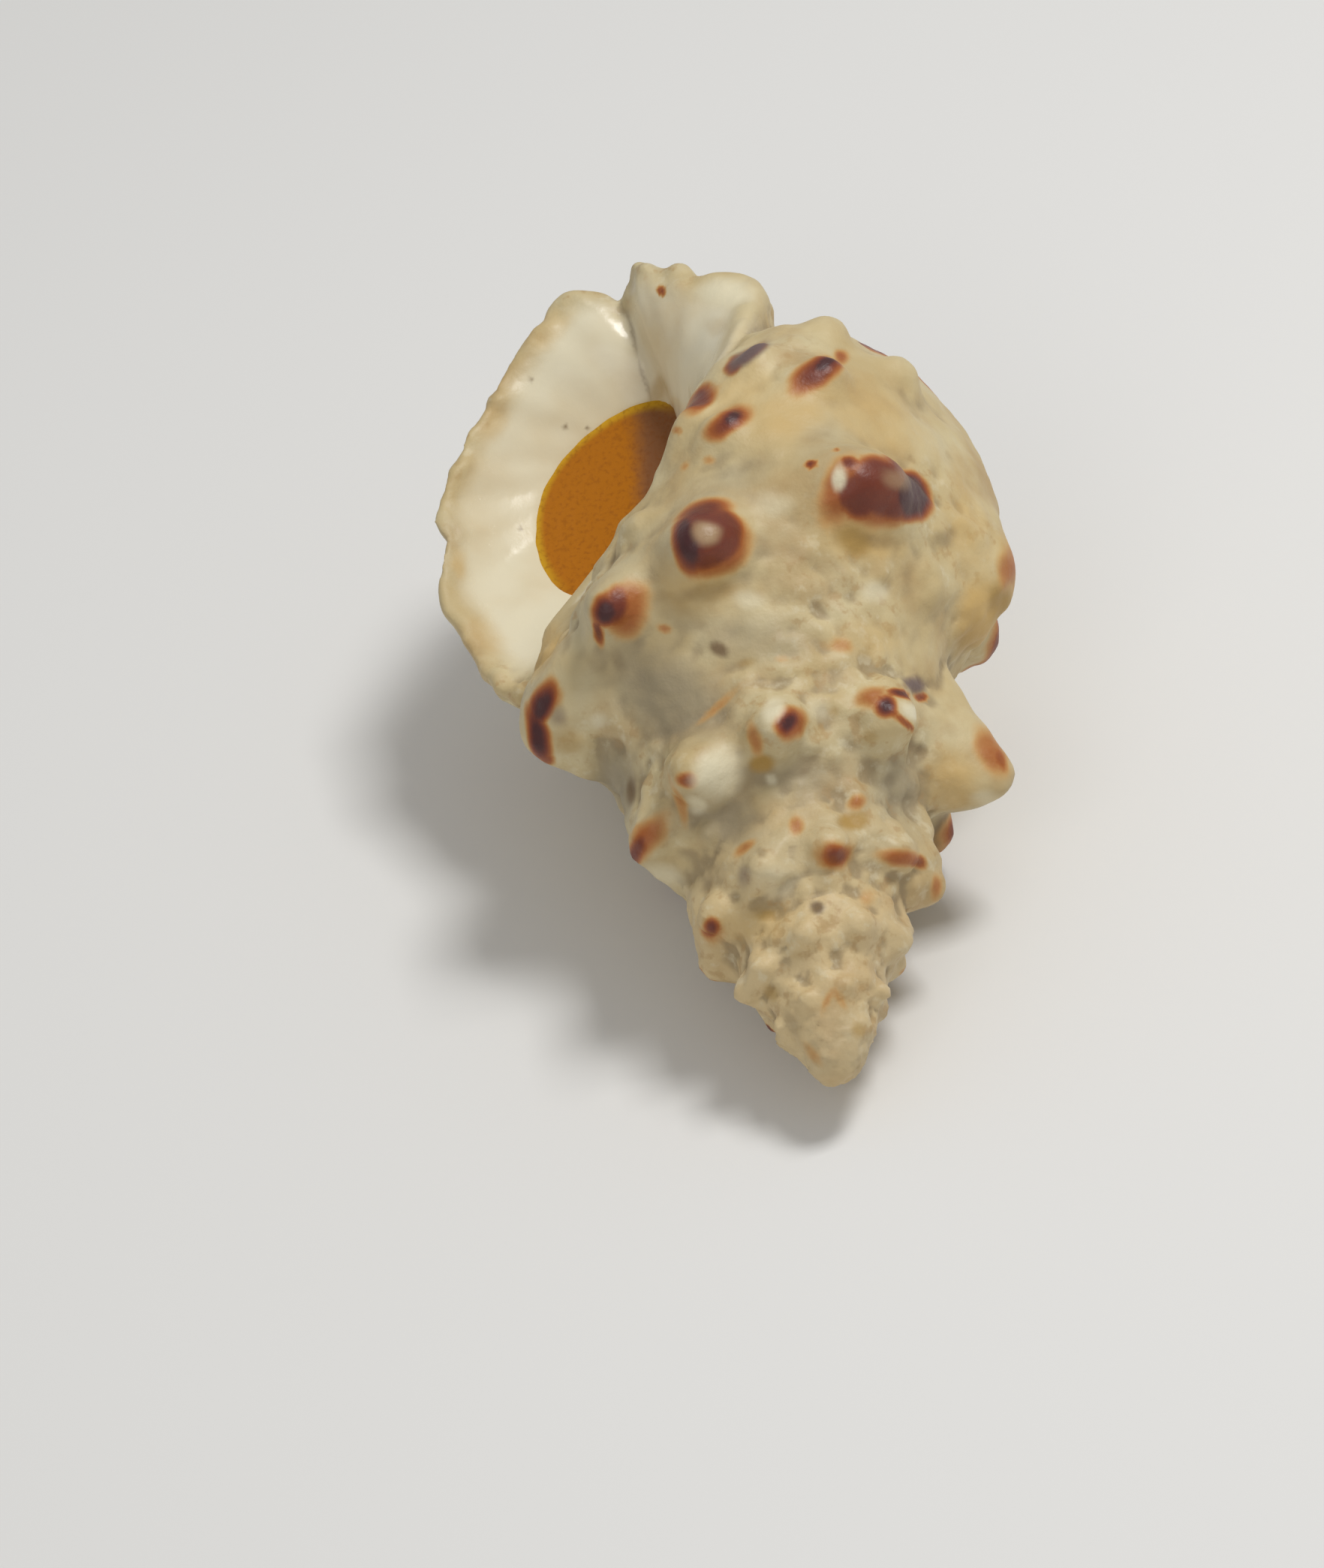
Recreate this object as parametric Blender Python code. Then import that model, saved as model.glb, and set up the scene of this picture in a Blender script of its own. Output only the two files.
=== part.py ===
"""Warty frog shell: a dextral sea-snail shell with a knobbed spire, a flared mouth and its horny plate.

The shell grows along a logarithmic spiral. One cross-section, drawn in whorl units, is carried round
the axis while it grows, then opens into the flared lip, the dish of the mouth and a short chamber.
Knobs and varices are raised on it, the whorls are fused to one solid, and the shell is laid down on
its back, where three knobs carry it on small worn flats. Metres, +Z up.
"""
import math

import bmesh
import bpy
import numpy as np
from mathutils import Matrix

# Driving dimensions, in metres and degrees
WHORL_UNIT = 0.0163          # whorl unit where the growth angle is zero, on the right of the mouth
GROWTH_RATE = 0.06           # growth of the whorl unit per radian: 1.458 times a turn
TURNS = 5.9                  # whorls from the blunt tip to the lip
LIP_AZIMUTH = 190.0          # azimuth of the mouth's plane about the axis
LIP_BEND = 13.0              # how far behind that plane the wall starts to flare, in degrees
TIP_RADIUS = 0.00195         # worn, rounded tip of the spire
TIP_HEIGHT = -0.0042         # centre of the tip's dome, below the spiral's point
CHAMBER_DEPTH = 95.0         # how far the chamber turns back behind the mouth
CHAMBER_MOUTH = 25.0         # the first part of that, which keeps the throat's full width
THROAT_LONG = 0.355          # half length of the throat's oval, in whorl units
THROAT_SHORT = 0.225         # half width of the throat's oval, in whorl units
THROAT_LEAN = 16.0           # lean of the oval from the axis
THROAT_CENTRE = (0.375, -2.58)
THROAT_SINK = -0.20          # depth of the throat behind the mouth's plane, in whorl units
PLATE_GAP = 0.0010           # play between the plate and the throat
PLATE_THICKNESS = 0.0009
PLATE_DISH = 0.0006          # hollow of the plate's front face
PLATE_SINK = 0.0004          # how far behind the throat's ring the plate sits
REST_PITCH = 108.5           # turn about X that lays the shell on its back
REST_DEPTH = 0.0004          # how much of each supporting knob is worn flat
VOXEL_SIZE = 0.0006
SHELL_TRIANGLES = 8600

# Steps of the grids
STEPS_PER_TURN = 72
STEPS_ROUND = 84
STEPS_LIP = (3, 7, 7)
STEPS_CHAMBER = 14

# Cross-sections: radius from the axis and height, in whorl units, from the suture round the outside,
# under the base, and back up the column. The three share the order of their points.
SPIRE = ((.606, -1.65), (.655, -1.79), (.72, -1.95), (.80, -2.09), (.862, -2.22), (.885, -2.40),
         (.865, -2.62), (.79, -2.83), (.66, -2.97), (.50, -3.09), (.35, -3.18), (.27, -3.26),
         (.22, -3.34), (.16, -3.40), (.08, -3.36), (0, -3.26), (-.05, -3.10), (-.06, -2.90),
         (-.05, -2.65), (-.02, -2.40), (.06, -2.15), (.18, -1.93), (.33, -1.76), (.48, -1.66))
BODY = SPIRE[:5] + ((.89, -2.42), (.885, -2.70), (.835, -2.96), (.755, -3.16), (.64, -3.31),
                    (.47, -3.40), (.33, -3.45), (.25, -3.49), (.16, -3.53), (.08, -3.48),
                    (0, -3.36)) + SPIRE[16:]
LIP_BACK = ((.62, -1.70), (.68, -1.80), (.75, -1.93), (.82, -2.07), (.872, -2.24), (.875, -2.42),
            (.84, -2.60), (.765, -2.78), (.66, -3.00), (.54, -3.12), (.42, -3.21), (.32, -3.25),
            (.25, -3.26), (.19, -3.24), (.12, -3.23), (.05, -3.16), (.00, -3.04), (-.03, -2.86),
            (-.04, -2.62), (-.02, -2.40), (.06, -2.15), (.18, -1.93), (.33, -1.76), (.48, -1.68))
# The lip's free edge: radius, height, and how far it stands in front of the mouth's plane. Points 0
# to 11 are the outer lip, 12 the siphonal notch, 13 to 17 the fan, and 18 to 23 the inner callus.
LIP_EDGE = ((.715, -1.785, .05), (.79, -1.855, .03), (.84, -1.975, .02), (.885, -2.18, .02),
            (.93, -2.34, .03), (.90, -2.50, .02), (.865, -2.65, .02), (.79, -2.80, .02),
            (.69, -2.95, .01), (.56, -3.12, 0), (.42, -3.255, -.01), (.30, -3.28, -.03),
            (.215, -3.15, -.06), (.17, -3.24, -.02), (.13, -3.28, .06), (-.02, -3.19, .09),
            (-.17, -3.12, .12), (-.22, -2.95, .15), (-.07, -2.49, .38), (.124, -2.275, .34),
            (.265, -2.105, .315), (.397, -1.985, .277), (.50, -1.89, .20), (.58, -1.815, .10))
# Thickness of the lip behind its edge, in whorl units, at some of the edge's points
LIP_WALLS = {0: .10, 7: .10, 9: .15, 13: .17, 14: .21, 17: .25, 18: .20, 19: .12, 24: .10}
# How deep the middle of the dish lies behind the mouth's plane, at some of the edge's points
DISH_DEPTHS = {0: -.06, 1: -.09, 2: -.10, 3: -.12, 8: -.10, 10: -.05, 11: -.05, 12: -.09, 13: -.05,
               14: .00, 15: .05, 16: .10, 17: .15, 18: .17, 19: .14, 20: .12, 22: .07, 24: -.06}
# How much of the deep body section shows, by growth angle in degrees
BODY_SHARE = {-120: 0.0, -97: 0.6, -60: 1.0, -10: 0.9, 60: 0.35, 130: 0.2}
# How much wider the early whorls are than the spiral makes them, by growth angle in degrees
EARLY_WIDTH = {-1800: 1.18, -1080: 1.12, -540: 1.0}

# Varices: growth angle, height and half width in radians, two for each whorl
VARICES = ((0.05, .095, .30), (0.1 - math.pi, .10, .16), (-2 * math.pi, .13, .17),
           (0.1 - 3 * math.pi, .12, .17), (-4 * math.pi, .14, .20), (0.1 - 5 * math.pi, .10, .20),
           (-6 * math.pi, .10, .20))

# The hollow that the inner lip wears into the body whorl: growth angle, depth and half width
MOUTH_HOLLOW = (-2.25, 0.15, 0.80)

# Knobs, by whorl and row: azimuth, height, half length along the spiral and half width across it, in
# whorl units. A row has its place on the section, how that drifts for each degree of azimuth, and
# how far its knobs lean to the tip.
BODY_SHOULDER = dict(whorl=0, place=4.1, lean=28, knobs=(
    (166, .16, .17, .17), (127, .15, .14, .13), (98, .19, .16, .15), (3, .05, .20, .16),
    (-30, .13, .16, .15), (-70, .13, .16, .15), (-110, .13, .16, .15), (-142, .05, .16, .15)))
BODY_CREST = dict(whorl=0, place=4.5, lean=15, knobs=((56, .17, .24, .16),))
PENULTIMATE_FRONT = dict(whorl=1, place=3.45, lean=35, knobs=(
    (157, .25, .19, .19), (121, .27, .19, .19), (89, .22, .17, .16), (45, .20, .20, .18),
    (-9, .30, .25, .24)))
PENULTIMATE_BACK = dict(whorl=1, place=3.5, lean=32, knobs=(
    (-45, .30, .19, .18), (-85, .18, .19, .18), (-120, .18, .19, .18), (-155, .18, .19, .18)))
THIRD_FRONT = dict(whorl=2, place=3.2, lean=40, knobs=(
    (150, .22, .19, .19), (108, .17, .18, .18), (73, .15, .18, .17), (27, .16, .21, .16),
    (-14, .20, .20, .20)))
THIRD_BACK = dict(whorl=2, place=3.3, lean=38, knobs=tuple(
    (azimuth, .16, .18, .17) for azimuth in (-55, -90, -125)))
FOURTH = dict(whorl=3, place=3.3, lean=28, knobs=(
    (168, .30, .24, .20), (138, .18, .20, .18), (95, .12, .20, .18), (55, .12, .20, .18),
    (10, .14, .20, .18), (-30, .14, .20, .18), (-75, .12, .20, .18), (-120, .12, .20, .18)))
FIFTH = dict(whorl=4, place=3.4, lean=28, knobs=(
    (160, .20, .20, .18), (110, .12, .20, .18), (65, .10, .20, .18), (15, .14, .20, .18),
    (-40, .10, .20, .18), (-90, .10, .20, .18), (-140, .10, .20, .18)))
UPPER_BASE_ROW = dict(whorl=0, place=7.4, drift=-.0125, lean=-20, knobs=tuple(
    (azimuth, .08, .11, .09) for azimuth in (120, 88, 58, 28, 0, -35, -70, -105, -140)))
LOWER_BASE_ROW = dict(whorl=0, place=9.0, drift=-.018, lean=-45, knobs=tuple(
    (azimuth, .07, .10, .08) for azimuth in (98, 73, 46, 18, -10, -45, -80, -115, -150)))
KNOB_ROWS = (BODY_SHOULDER, BODY_CREST, PENULTIMATE_FRONT, PENULTIMATE_BACK, THIRD_FRONT,
             THIRD_BACK, FOURTH, FIFTH, UPPER_BASE_ROW, LOWER_BASE_ROW)
KNOB_DEPTH = 0.25            # how far below its foot a knob still lifts the wall, in whorl units

# Small lumps and pits between the knobs
LUMP_SEED = 11
LUMP_COUNT = 420
LUMP_SIZES = (0.05, 0.12)    # radius, in whorl units
LUMP_HEIGHTS = (-0.03, 0.05)
LUMP_SPAN = (-4.6 * 2 * math.pi, 2.4)
LUMP_PLACES = (1.2, 10.5)

# Radial folds of the dish: first and last point of the edge, count, and depth in whorl units
LIP_FOLDS = (1.0, 11.5, 13, 0.016)
FAN_FOLDS = (13.0, 17.6, 5, 0.014)
FOLD_SHARES = (0.2, 0.7, 1.0, 0.25)  # how much of a fold's depth the four rings of the lip carry

POINTS = len(SPIRE)
LIP_ANGLE = math.radians(360 - LIP_AZIMUTH)
LIP_START = LIP_ANGLE - math.radians(LIP_BEND)


def clear_scene():
    """Remove every object that the file opens with."""
    for item in list(bpy.data.objects):
        bpy.data.objects.remove(item, do_unlink=True)


def make_material(name, colour, roughness, metallic=0.0):
    """Return a Principled material with one colour."""
    material = bpy.data.materials.new(name)
    material.use_nodes = True
    shader = material.node_tree.nodes["Principled BSDF"]
    shader.inputs["Base Color"].default_value = (*colour, 1.0)
    shader.inputs["Roughness"].default_value = roughness
    shader.inputs["Metallic"].default_value = metallic
    return material


def whorl_scale(angle):
    """Whorl unit in metres at a growth angle."""
    return WHORL_UNIT * np.exp(GROWTH_RATE * angle)


def closed_curve(steps):
    """Weights that carry the section's points to a smooth closed curve of so many steps."""
    place = np.arange(steps) / steps * POINTS
    index = np.floor(place).astype(int)
    t = place - index
    weights = ((-t + 2 * t**2 - t**3) / 2, 1 - 2.5 * t**2 + 1.5 * t**3,
               (t + 4 * t**2 - 3 * t**3) / 2, (t**3 - t**2) / 2)
    basis = np.zeros((steps, POINTS))
    for offset, weight in enumerate(weights):
        basis[np.arange(steps), (index + offset - 1) % POINTS] += weight
    return basis


def section_points(angles):
    """The section's points at each growth angle, in whorl units."""
    spire, body, back = (np.array(outline) for outline in (SPIRE, BODY, LIP_BACK))
    share = np.interp(np.degrees(angles), list(BODY_SHARE), list(BODY_SHARE.values()))[:, None, None]
    lip_share = np.interp(angles, (math.radians(60), LIP_START), (0, 1))[:, None, None]
    grown = spire + (body - spire) * share
    grown[..., 0] *= np.interp(np.degrees(angles), list(EARLY_WIDTH), list(EARLY_WIDTH.values()))[:, None]
    return grown + (back - grown) * lip_share


def wall_point(angle, place, lean):
    """A point of the wall in metres with its outward, forward and crosswise directions."""
    steps = 240
    curve = closed_curve(steps) @ section_points(np.array([angle]))[0] * whorl_scale(angle)
    radius, height = curve[int(place / POINTS * steps) % steps]
    radial = np.array((math.cos(-angle), math.sin(-angle), 0.0))
    forward = np.array((math.sin(-angle), -math.cos(-angle), 0.0))
    outward = math.cos(math.radians(lean)) * radial + math.sin(math.radians(lean)) * np.array((0, 0, 1.0))
    return radius * radial + np.array((0, 0, height)), outward, forward, np.cross(outward, forward)


def smooth_band(place, start, full, ease, end):
    """A weight along the section that rises from start to full and falls from ease to end."""
    rise = np.clip((place - start) / (full - start), 0, 1)
    fall = np.clip((end - place) / (end - ease), 0, 1)
    weight = rise * fall
    return weight * weight * (3 - 2 * weight)


def raise_varices(points, angles):
    """Swell the outer wall at each varix, and hollow it beside the mouth."""
    place = np.arange(points.shape[1]) / points.shape[1] * POINTS
    swellings = [(*varix, smooth_band(place, 1, 3, 6.5, 11.5)) for varix in VARICES]
    centre, depth, width = MOUTH_HOLLOW
    swellings.append((centre, -depth, width, smooth_band(place, 4.3, 6, 10, 12.5)))
    raised = points.copy()
    for centre, height, width, fade in swellings:
        scale = whorl_scale(centre)
        middle = section_points(np.array([centre]))[0].mean(axis=0) * scale
        hub = np.stack((0.45 * middle[0] * np.cos(-angles), 0.45 * middle[0] * np.sin(-angles),
                        np.full_like(angles, middle[1])), axis=-1)[:, None]
        away = points - hub
        away /= np.linalg.norm(away, axis=-1, keepdims=True)
        swell = height * scale * np.exp(-(np.abs(angles - centre) / width) ** 2.2)
        raised += (swell[:, None] * fade)[..., None] * away
    return raised


def raise_knobs(points, angles):
    """Push each knob out along its own axis; return the wall and how much of it is knob."""
    raised = points.copy()
    crest = np.zeros(points.shape[:2])
    for row in KNOB_ROWS:
        for azimuth, height, length, width in row["knobs"]:
            angle = -math.radians(azimuth) - 2 * math.pi * row["whorl"]
            scale = whorl_scale(angle)
            place = row["place"] + row.get("drift", 0) * azimuth
            foot, outward, forward, across = wall_point(angle, place, row["lean"])
            near = np.abs(angles - angle) < 1.0
            offset = points[near] - foot
            reach = np.sqrt((offset @ forward / (length * scale)) ** 2
                            + (offset @ across / (width * scale)) ** 2
                            + 0.3 * (offset @ outward / (KNOB_DEPTH * scale)) ** 2)
            dome = np.exp(-reach**3)
            crest[near] = np.maximum(crest[near], dome)
            raised[near] += (height * scale * dome)[..., None] * outward
    return raised, crest


def raise_lumps(points, angles, crest):
    """Scatter small rounded lumps and pits over the outer wall, but not on the knobs."""
    random = np.random.RandomState(LUMP_SEED)
    raised = points.copy()
    for _ in range(LUMP_COUNT):
        angle = LUMP_SPAN[1] - (LUMP_SPAN[1] - LUMP_SPAN[0]) * random.rand() ** 1.3
        place = random.uniform(*LUMP_PLACES)
        size = random.uniform(*LUMP_SIZES) * whorl_scale(angle)
        height = random.uniform(*LUMP_HEIGHTS) * whorl_scale(angle)
        foot, outward, _forward, _across = wall_point(angle, place, 10 - 9 * (place - 5))
        near = np.abs(angles - angle) < 0.5
        reach = np.linalg.norm(points[near] - foot, axis=-1) / size
        lump = height * np.exp(-reach**2) * (1 - crest[near])
        raised[near] += lump[..., None] * outward
    return raised


def whorl_grid():
    """Rings of the outer wall from the tip to the back of the lip."""
    angles = np.linspace(LIP_ANGLE - TURNS * 2 * math.pi, LIP_START, int(TURNS * STEPS_PER_TURN))
    sections = np.einsum("mk,tkd->tmd", closed_curve(STEPS_ROUND), section_points(angles))
    scale = whorl_scale(angles)[:, None]
    radius, height = sections[..., 0] * scale, sections[..., 1] * scale
    turn = -angles[:, None]
    points = np.stack((radius * np.cos(turn), radius * np.sin(turn), height), axis=-1)
    knobbed, crest = raise_knobs(raise_varices(points, angles), angles)
    return raise_lumps(knobbed, angles, crest)


def throat_ring(shrink=0.0):
    """The throat's oval as radius, height and depth in whorl units, drawn in by a margin."""
    turn = 2 * np.pi * (np.arange(POINTS) + 1) / POINTS
    lean = math.radians(THROAT_LEAN)
    along = (THROAT_LONG - shrink) * np.cos(turn)
    aside = (THROAT_SHORT - shrink) * np.sin(turn)
    return np.stack((THROAT_CENTRE[0] + along * math.sin(lean) + aside * math.cos(lean),
                     THROAT_CENTRE[1] + along * math.cos(lean) - aside * math.sin(lean),
                     np.full(POINTS, THROAT_SINK)), axis=-1)


def at_points(values):
    """Read a value at every point of the section from the few that are given."""
    return np.interp(np.arange(POINTS), list(values), list(values.values()))


def lip_rings():
    """Control rings of the lip: back of the edge, free edge, dish and throat."""
    edge = np.array(LIP_EDGE)
    back = edge.copy()
    back[:, 2] -= at_points(LIP_WALLS)
    throat = throat_ring()
    dish = 0.5 * (edge + throat)
    dish[:, 2] = at_points(DISH_DEPTHS)
    return np.stack((back, edge, dish, throat))


def fold_rings(rings):
    """Press the radial folds of the outer lip and of the fan into the rings of the lip."""
    place = np.arange(rings.shape[1]) / rings.shape[1] * POINTS
    folded = rings.copy()
    for first, last, count, depth in (LIP_FOLDS, FAN_FOLDS):
        along = np.clip((place - first) / (last - first), 0, 1)
        fade = np.sqrt(np.sin(np.pi * along))
        wave = depth * fade * np.cos(2 * np.pi * count * along)
        folded[..., 2] += np.outer(FOLD_SHARES, wave)
    return folded


def open_curve(rings, steps):
    """Smooth rings through control rings, so many steps for each span."""
    padded = np.concatenate((2 * rings[:1] - rings[1:2], rings, 2 * rings[-1:] - rings[-2:-1]))
    parts = []
    for span, count in enumerate(steps):
        t = (np.arange(count) / count)[:, None, None]
        a, b, c, d = padded[span:span + 4]
        parts.append(b + ((c - a) * t + (2 * a - 5 * b + 4 * c - d) * t**2
                          + (3 * b - a - 3 * c + d) * t**3) / 2)
    return np.concatenate(parts + [rings[-1:]])


def from_mouth(points):
    """Carry radius, height and depth in the mouth's plane to the shell's frame, in metres."""
    azimuth = math.radians(LIP_AZIMUTH)
    radial = np.array((math.cos(azimuth), math.sin(azimuth), 0))
    forward = np.array((math.sin(azimuth), -math.cos(azimuth), 0))
    placed = points[..., :1] * radial + points[..., 2:] * forward + points[..., 1:2] * np.array((0, 0, 1.0))
    return whorl_scale(LIP_ANGLE) * placed


def chamber_rings(throat):
    """Rings of the chamber, turning back round the axis from the throat and narrowing."""
    rings = []
    middle = throat.mean(axis=0)
    for degrees in np.linspace(6, CHAMBER_DEPTH, STEPS_CHAMBER):
        inner = max(degrees - CHAMBER_MOUTH, 0)
        narrow = 1 - 0.5 * (inner / (CHAMBER_DEPTH - CHAMBER_MOUTH)) ** 2
        spin = np.array(Matrix.Rotation(math.radians(degrees), 3, "Z"))
        shrink = math.exp(-GROWTH_RATE * math.radians(inner))
        rings.append((middle + (throat - middle) * narrow) @ spin.T * shrink)
    return np.array(rings)


def shell_grid():
    """All rings of the shell, from the tip round to the end of the chamber."""
    controls = fold_rings(np.einsum("mk,tkd->tmd", closed_curve(STEPS_ROUND), lip_rings()))
    lip = from_mouth(open_curve(controls, STEPS_LIP))
    return np.concatenate((whorl_grid(), lip, chamber_rings(lip[-1])))


def tube_mesh(name, grid):
    """Make a closed mesh of rings, with a fan of triangles at each end."""
    rows, columns = grid.shape[:2]
    row, column = np.meshgrid(np.arange(rows - 1) * columns, np.arange(columns), indexing="ij")
    after = (column + 1) % columns
    quads = np.stack((row + column, row + after, row + columns + after, row + columns + column), -1)
    first, last = rows * columns, rows * columns + 1
    edge = np.arange(columns)
    start = np.stack((np.full(columns, first), (edge + 1) % columns, edge), -1)
    end = np.stack((np.full(columns, last), last - 1 - columns + edge,
                    last - 1 - columns + (edge + 1) % columns), -1)
    points = np.concatenate((grid.reshape(-1, 3), grid[:1].mean(axis=1), grid[-1:].mean(axis=1)))
    mesh = bpy.data.meshes.new(name)
    mesh.from_pydata(points.tolist(), [], quads.reshape(-1, 4).tolist() + start.tolist() + end.tolist())
    return mesh


def add_object(name, mesh, material):
    """Link a mesh to the scene as an object with one material."""
    item = bpy.data.objects.new(name, mesh)
    mesh.materials.clear()
    mesh.materials.append(material)
    bpy.context.collection.objects.link(item)
    return item


def apply_modifiers(item):
    """Replace an object's mesh with what its modifiers make of it."""
    graph = bpy.context.evaluated_depsgraph_get()
    mesh = bpy.data.meshes.new_from_object(item.evaluated_get(graph))
    item.modifiers.clear()
    item.data = mesh


def rest_transform():
    """Lay the shell on its back; the axis then points to -Y and a little down."""
    return Matrix.Rotation(math.radians(REST_PITCH), 4, "X")


def cut_flat(mesh, height):
    """Cut a mesh off level at a height and close the cut."""
    work = bmesh.new()
    work.from_mesh(mesh)
    everything = work.verts[:] + work.edges[:] + work.faces[:]
    cut = bmesh.ops.bisect_plane(work, geom=everything, dist=1e-7, plane_co=(0, 0, height),
                                 plane_no=(0, 0, -1), clear_outer=True)
    rim = [edge for edge in cut["geom_cut"] if isinstance(edge, bmesh.types.BMEdge)]
    bmesh.ops.triangle_fill(work, use_beauty=True, edges=rim, normal=(0, 0, -1))
    bmesh.ops.triangulate(work, faces=work.faces[:])
    bmesh.ops.recalc_face_normals(work, faces=work.faces[:])
    work.to_mesh(mesh)
    work.free()


def build_shell(material):
    """The grown shell as one fused, closed solid, lying on its back."""
    shell = add_object("shell", tube_mesh("shell", shell_grid()), material)
    work = bmesh.new()
    work.from_mesh(shell.data)
    bmesh.ops.create_uvsphere(work, u_segments=24, v_segments=16, radius=TIP_RADIUS,
                              matrix=Matrix.Translation((0, 0, TIP_HEIGHT)))
    work.to_mesh(shell.data)
    work.free()
    fuse = shell.modifiers.new("fuse", "REMESH")
    fuse.mode = "VOXEL"
    fuse.voxel_size = VOXEL_SIZE
    ease = shell.modifiers.new("ease", "SMOOTH")
    ease.factor = 0.5
    ease.iterations = 1
    apply_modifiers(shell)
    shell.data.transform(rest_transform())
    triangles = sum(len(face.vertices) - 2 for face in shell.data.polygons)
    thin = shell.modifiers.new("thin", "DECIMATE")
    thin.ratio = SHELL_TRIANGLES / triangles
    apply_modifiers(shell)
    lowest = min(vertex.co.z for vertex in shell.data.vertices)
    cut_flat(shell.data, lowest + REST_DEPTH)
    shell.data.shade_smooth()
    return shell


def build_operculum(material):
    """The horny plate: an oval, slightly hollow disc across the throat."""
    scale = whorl_scale(LIP_ANGLE)
    rim = throat_ring(PLATE_GAP / scale)
    controls = closed_curve(48) @ rim
    middle = controls.mean(axis=0)
    rings = []
    for face, depth in ((1, 0.0), (-1, PLATE_THICKNESS / scale)):
        for share in ((0.25, 0.6, 0.9, 1.0) if face > 0 else (1.0, 0.6, 0.25)):
            ring = middle + (controls - middle) * share
            hollow = PLATE_DISH / scale * (1 - share**2)
            ring[:, 2] = THROAT_SINK - PLATE_SINK / scale - depth - hollow
            rings.append(from_mouth(ring))
    plate = add_object("operculum", tube_mesh("operculum", np.array(rings)), material)
    plate.data.transform(rest_transform())
    plate.data.shade_smooth()
    return plate


def settle(items):
    """Move the whole onto z = 0 with its box centred on the origin."""
    shell = items[0]
    corners = np.array([vertex.co for item in items for vertex in item.data.vertices])
    low, high = corners.min(axis=0), corners.max(axis=0)
    base = min(vertex.co.z for vertex in shell.data.vertices)
    shift = Matrix.Translation((-(low[0] + high[0]) / 2, -(low[1] + high[1]) / 2, -base))
    for item in items:
        item.data.transform(shift)
    print("shift in mm", [round(value * 1000, 3) for value in shift.translation])


def main():
    """Build the shell and its plate."""
    clear_scene()
    shell = build_shell(make_material("shell_porcelain", (0.78, 0.69, 0.50), 0.42))
    operculum = build_operculum(make_material("horn", (0.46, 0.22, 0.05), 0.5))
    settle((shell, operculum))


main()
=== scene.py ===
"""Warty frog shell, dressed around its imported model.

The shell's own spiral is grown again on a finer grid, with beads, pits and folds, and fused. Its
marks are painted as fields on the vertices, each placed where the photograph shows it, and the
unseen side gets marks by rule. The horny plate closes the mouth. Metres, +Z up.
"""

import logging
import math
from dataclasses import dataclass
from enum import Enum

import bmesh
import bpy
import numpy as np
from mathutils import Matrix, Vector
from mathutils.bvhtree import BVHTree


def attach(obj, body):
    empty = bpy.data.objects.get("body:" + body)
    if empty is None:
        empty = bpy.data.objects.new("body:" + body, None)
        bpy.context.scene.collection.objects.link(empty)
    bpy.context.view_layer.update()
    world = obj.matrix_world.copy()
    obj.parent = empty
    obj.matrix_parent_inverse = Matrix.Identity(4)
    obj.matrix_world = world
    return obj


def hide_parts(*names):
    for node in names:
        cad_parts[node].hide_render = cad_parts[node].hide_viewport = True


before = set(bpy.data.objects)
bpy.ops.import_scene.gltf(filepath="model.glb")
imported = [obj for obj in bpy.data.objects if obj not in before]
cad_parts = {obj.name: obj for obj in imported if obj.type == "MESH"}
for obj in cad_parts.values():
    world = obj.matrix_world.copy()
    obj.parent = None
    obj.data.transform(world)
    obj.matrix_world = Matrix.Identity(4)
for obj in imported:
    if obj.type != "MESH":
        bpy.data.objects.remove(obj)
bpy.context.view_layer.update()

PICTURE_SIZE = (1764, 2089)
POINTS = 24                       # control points of a cross-section
LATTICE = 32                      # cells after which the noise repeats

# Cross-sections: radius from the axis and height, in whorl units, from the suture round the outside,
# under the base, and back up the column. The three share the order of their points.
SPIRE = ((.606, -1.65), (.655, -1.79), (.72, -1.95), (.80, -2.09), (.862, -2.22), (.885, -2.40),
         (.865, -2.62), (.79, -2.83), (.66, -2.97), (.50, -3.09), (.35, -3.18), (.27, -3.26),
         (.22, -3.34), (.16, -3.40), (.08, -3.36), (0, -3.26), (-.05, -3.10), (-.06, -2.90),
         (-.05, -2.65), (-.02, -2.40), (.06, -2.15), (.18, -1.93), (.33, -1.76), (.48, -1.66))
BODY = SPIRE[:5] + ((.89, -2.42), (.885, -2.70), (.835, -2.96), (.755, -3.16), (.64, -3.31),
                    (.47, -3.40), (.33, -3.45), (.25, -3.49), (.16, -3.53), (.08, -3.48),
                    (0, -3.36)) + SPIRE[16:]
LIP_BACK = ((.62, -1.70), (.68, -1.80), (.75, -1.93), (.82, -2.07), (.872, -2.24), (.875, -2.42),
            (.84, -2.60), (.765, -2.78), (.66, -3.00), (.54, -3.12), (.42, -3.21), (.32, -3.25),
            (.25, -3.26), (.19, -3.24), (.12, -3.23), (.05, -3.16), (.00, -3.04), (-.03, -2.86),
            (-.04, -2.62), (-.02, -2.40), (.06, -2.15), (.18, -1.93), (.33, -1.76), (.48, -1.68))
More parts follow.
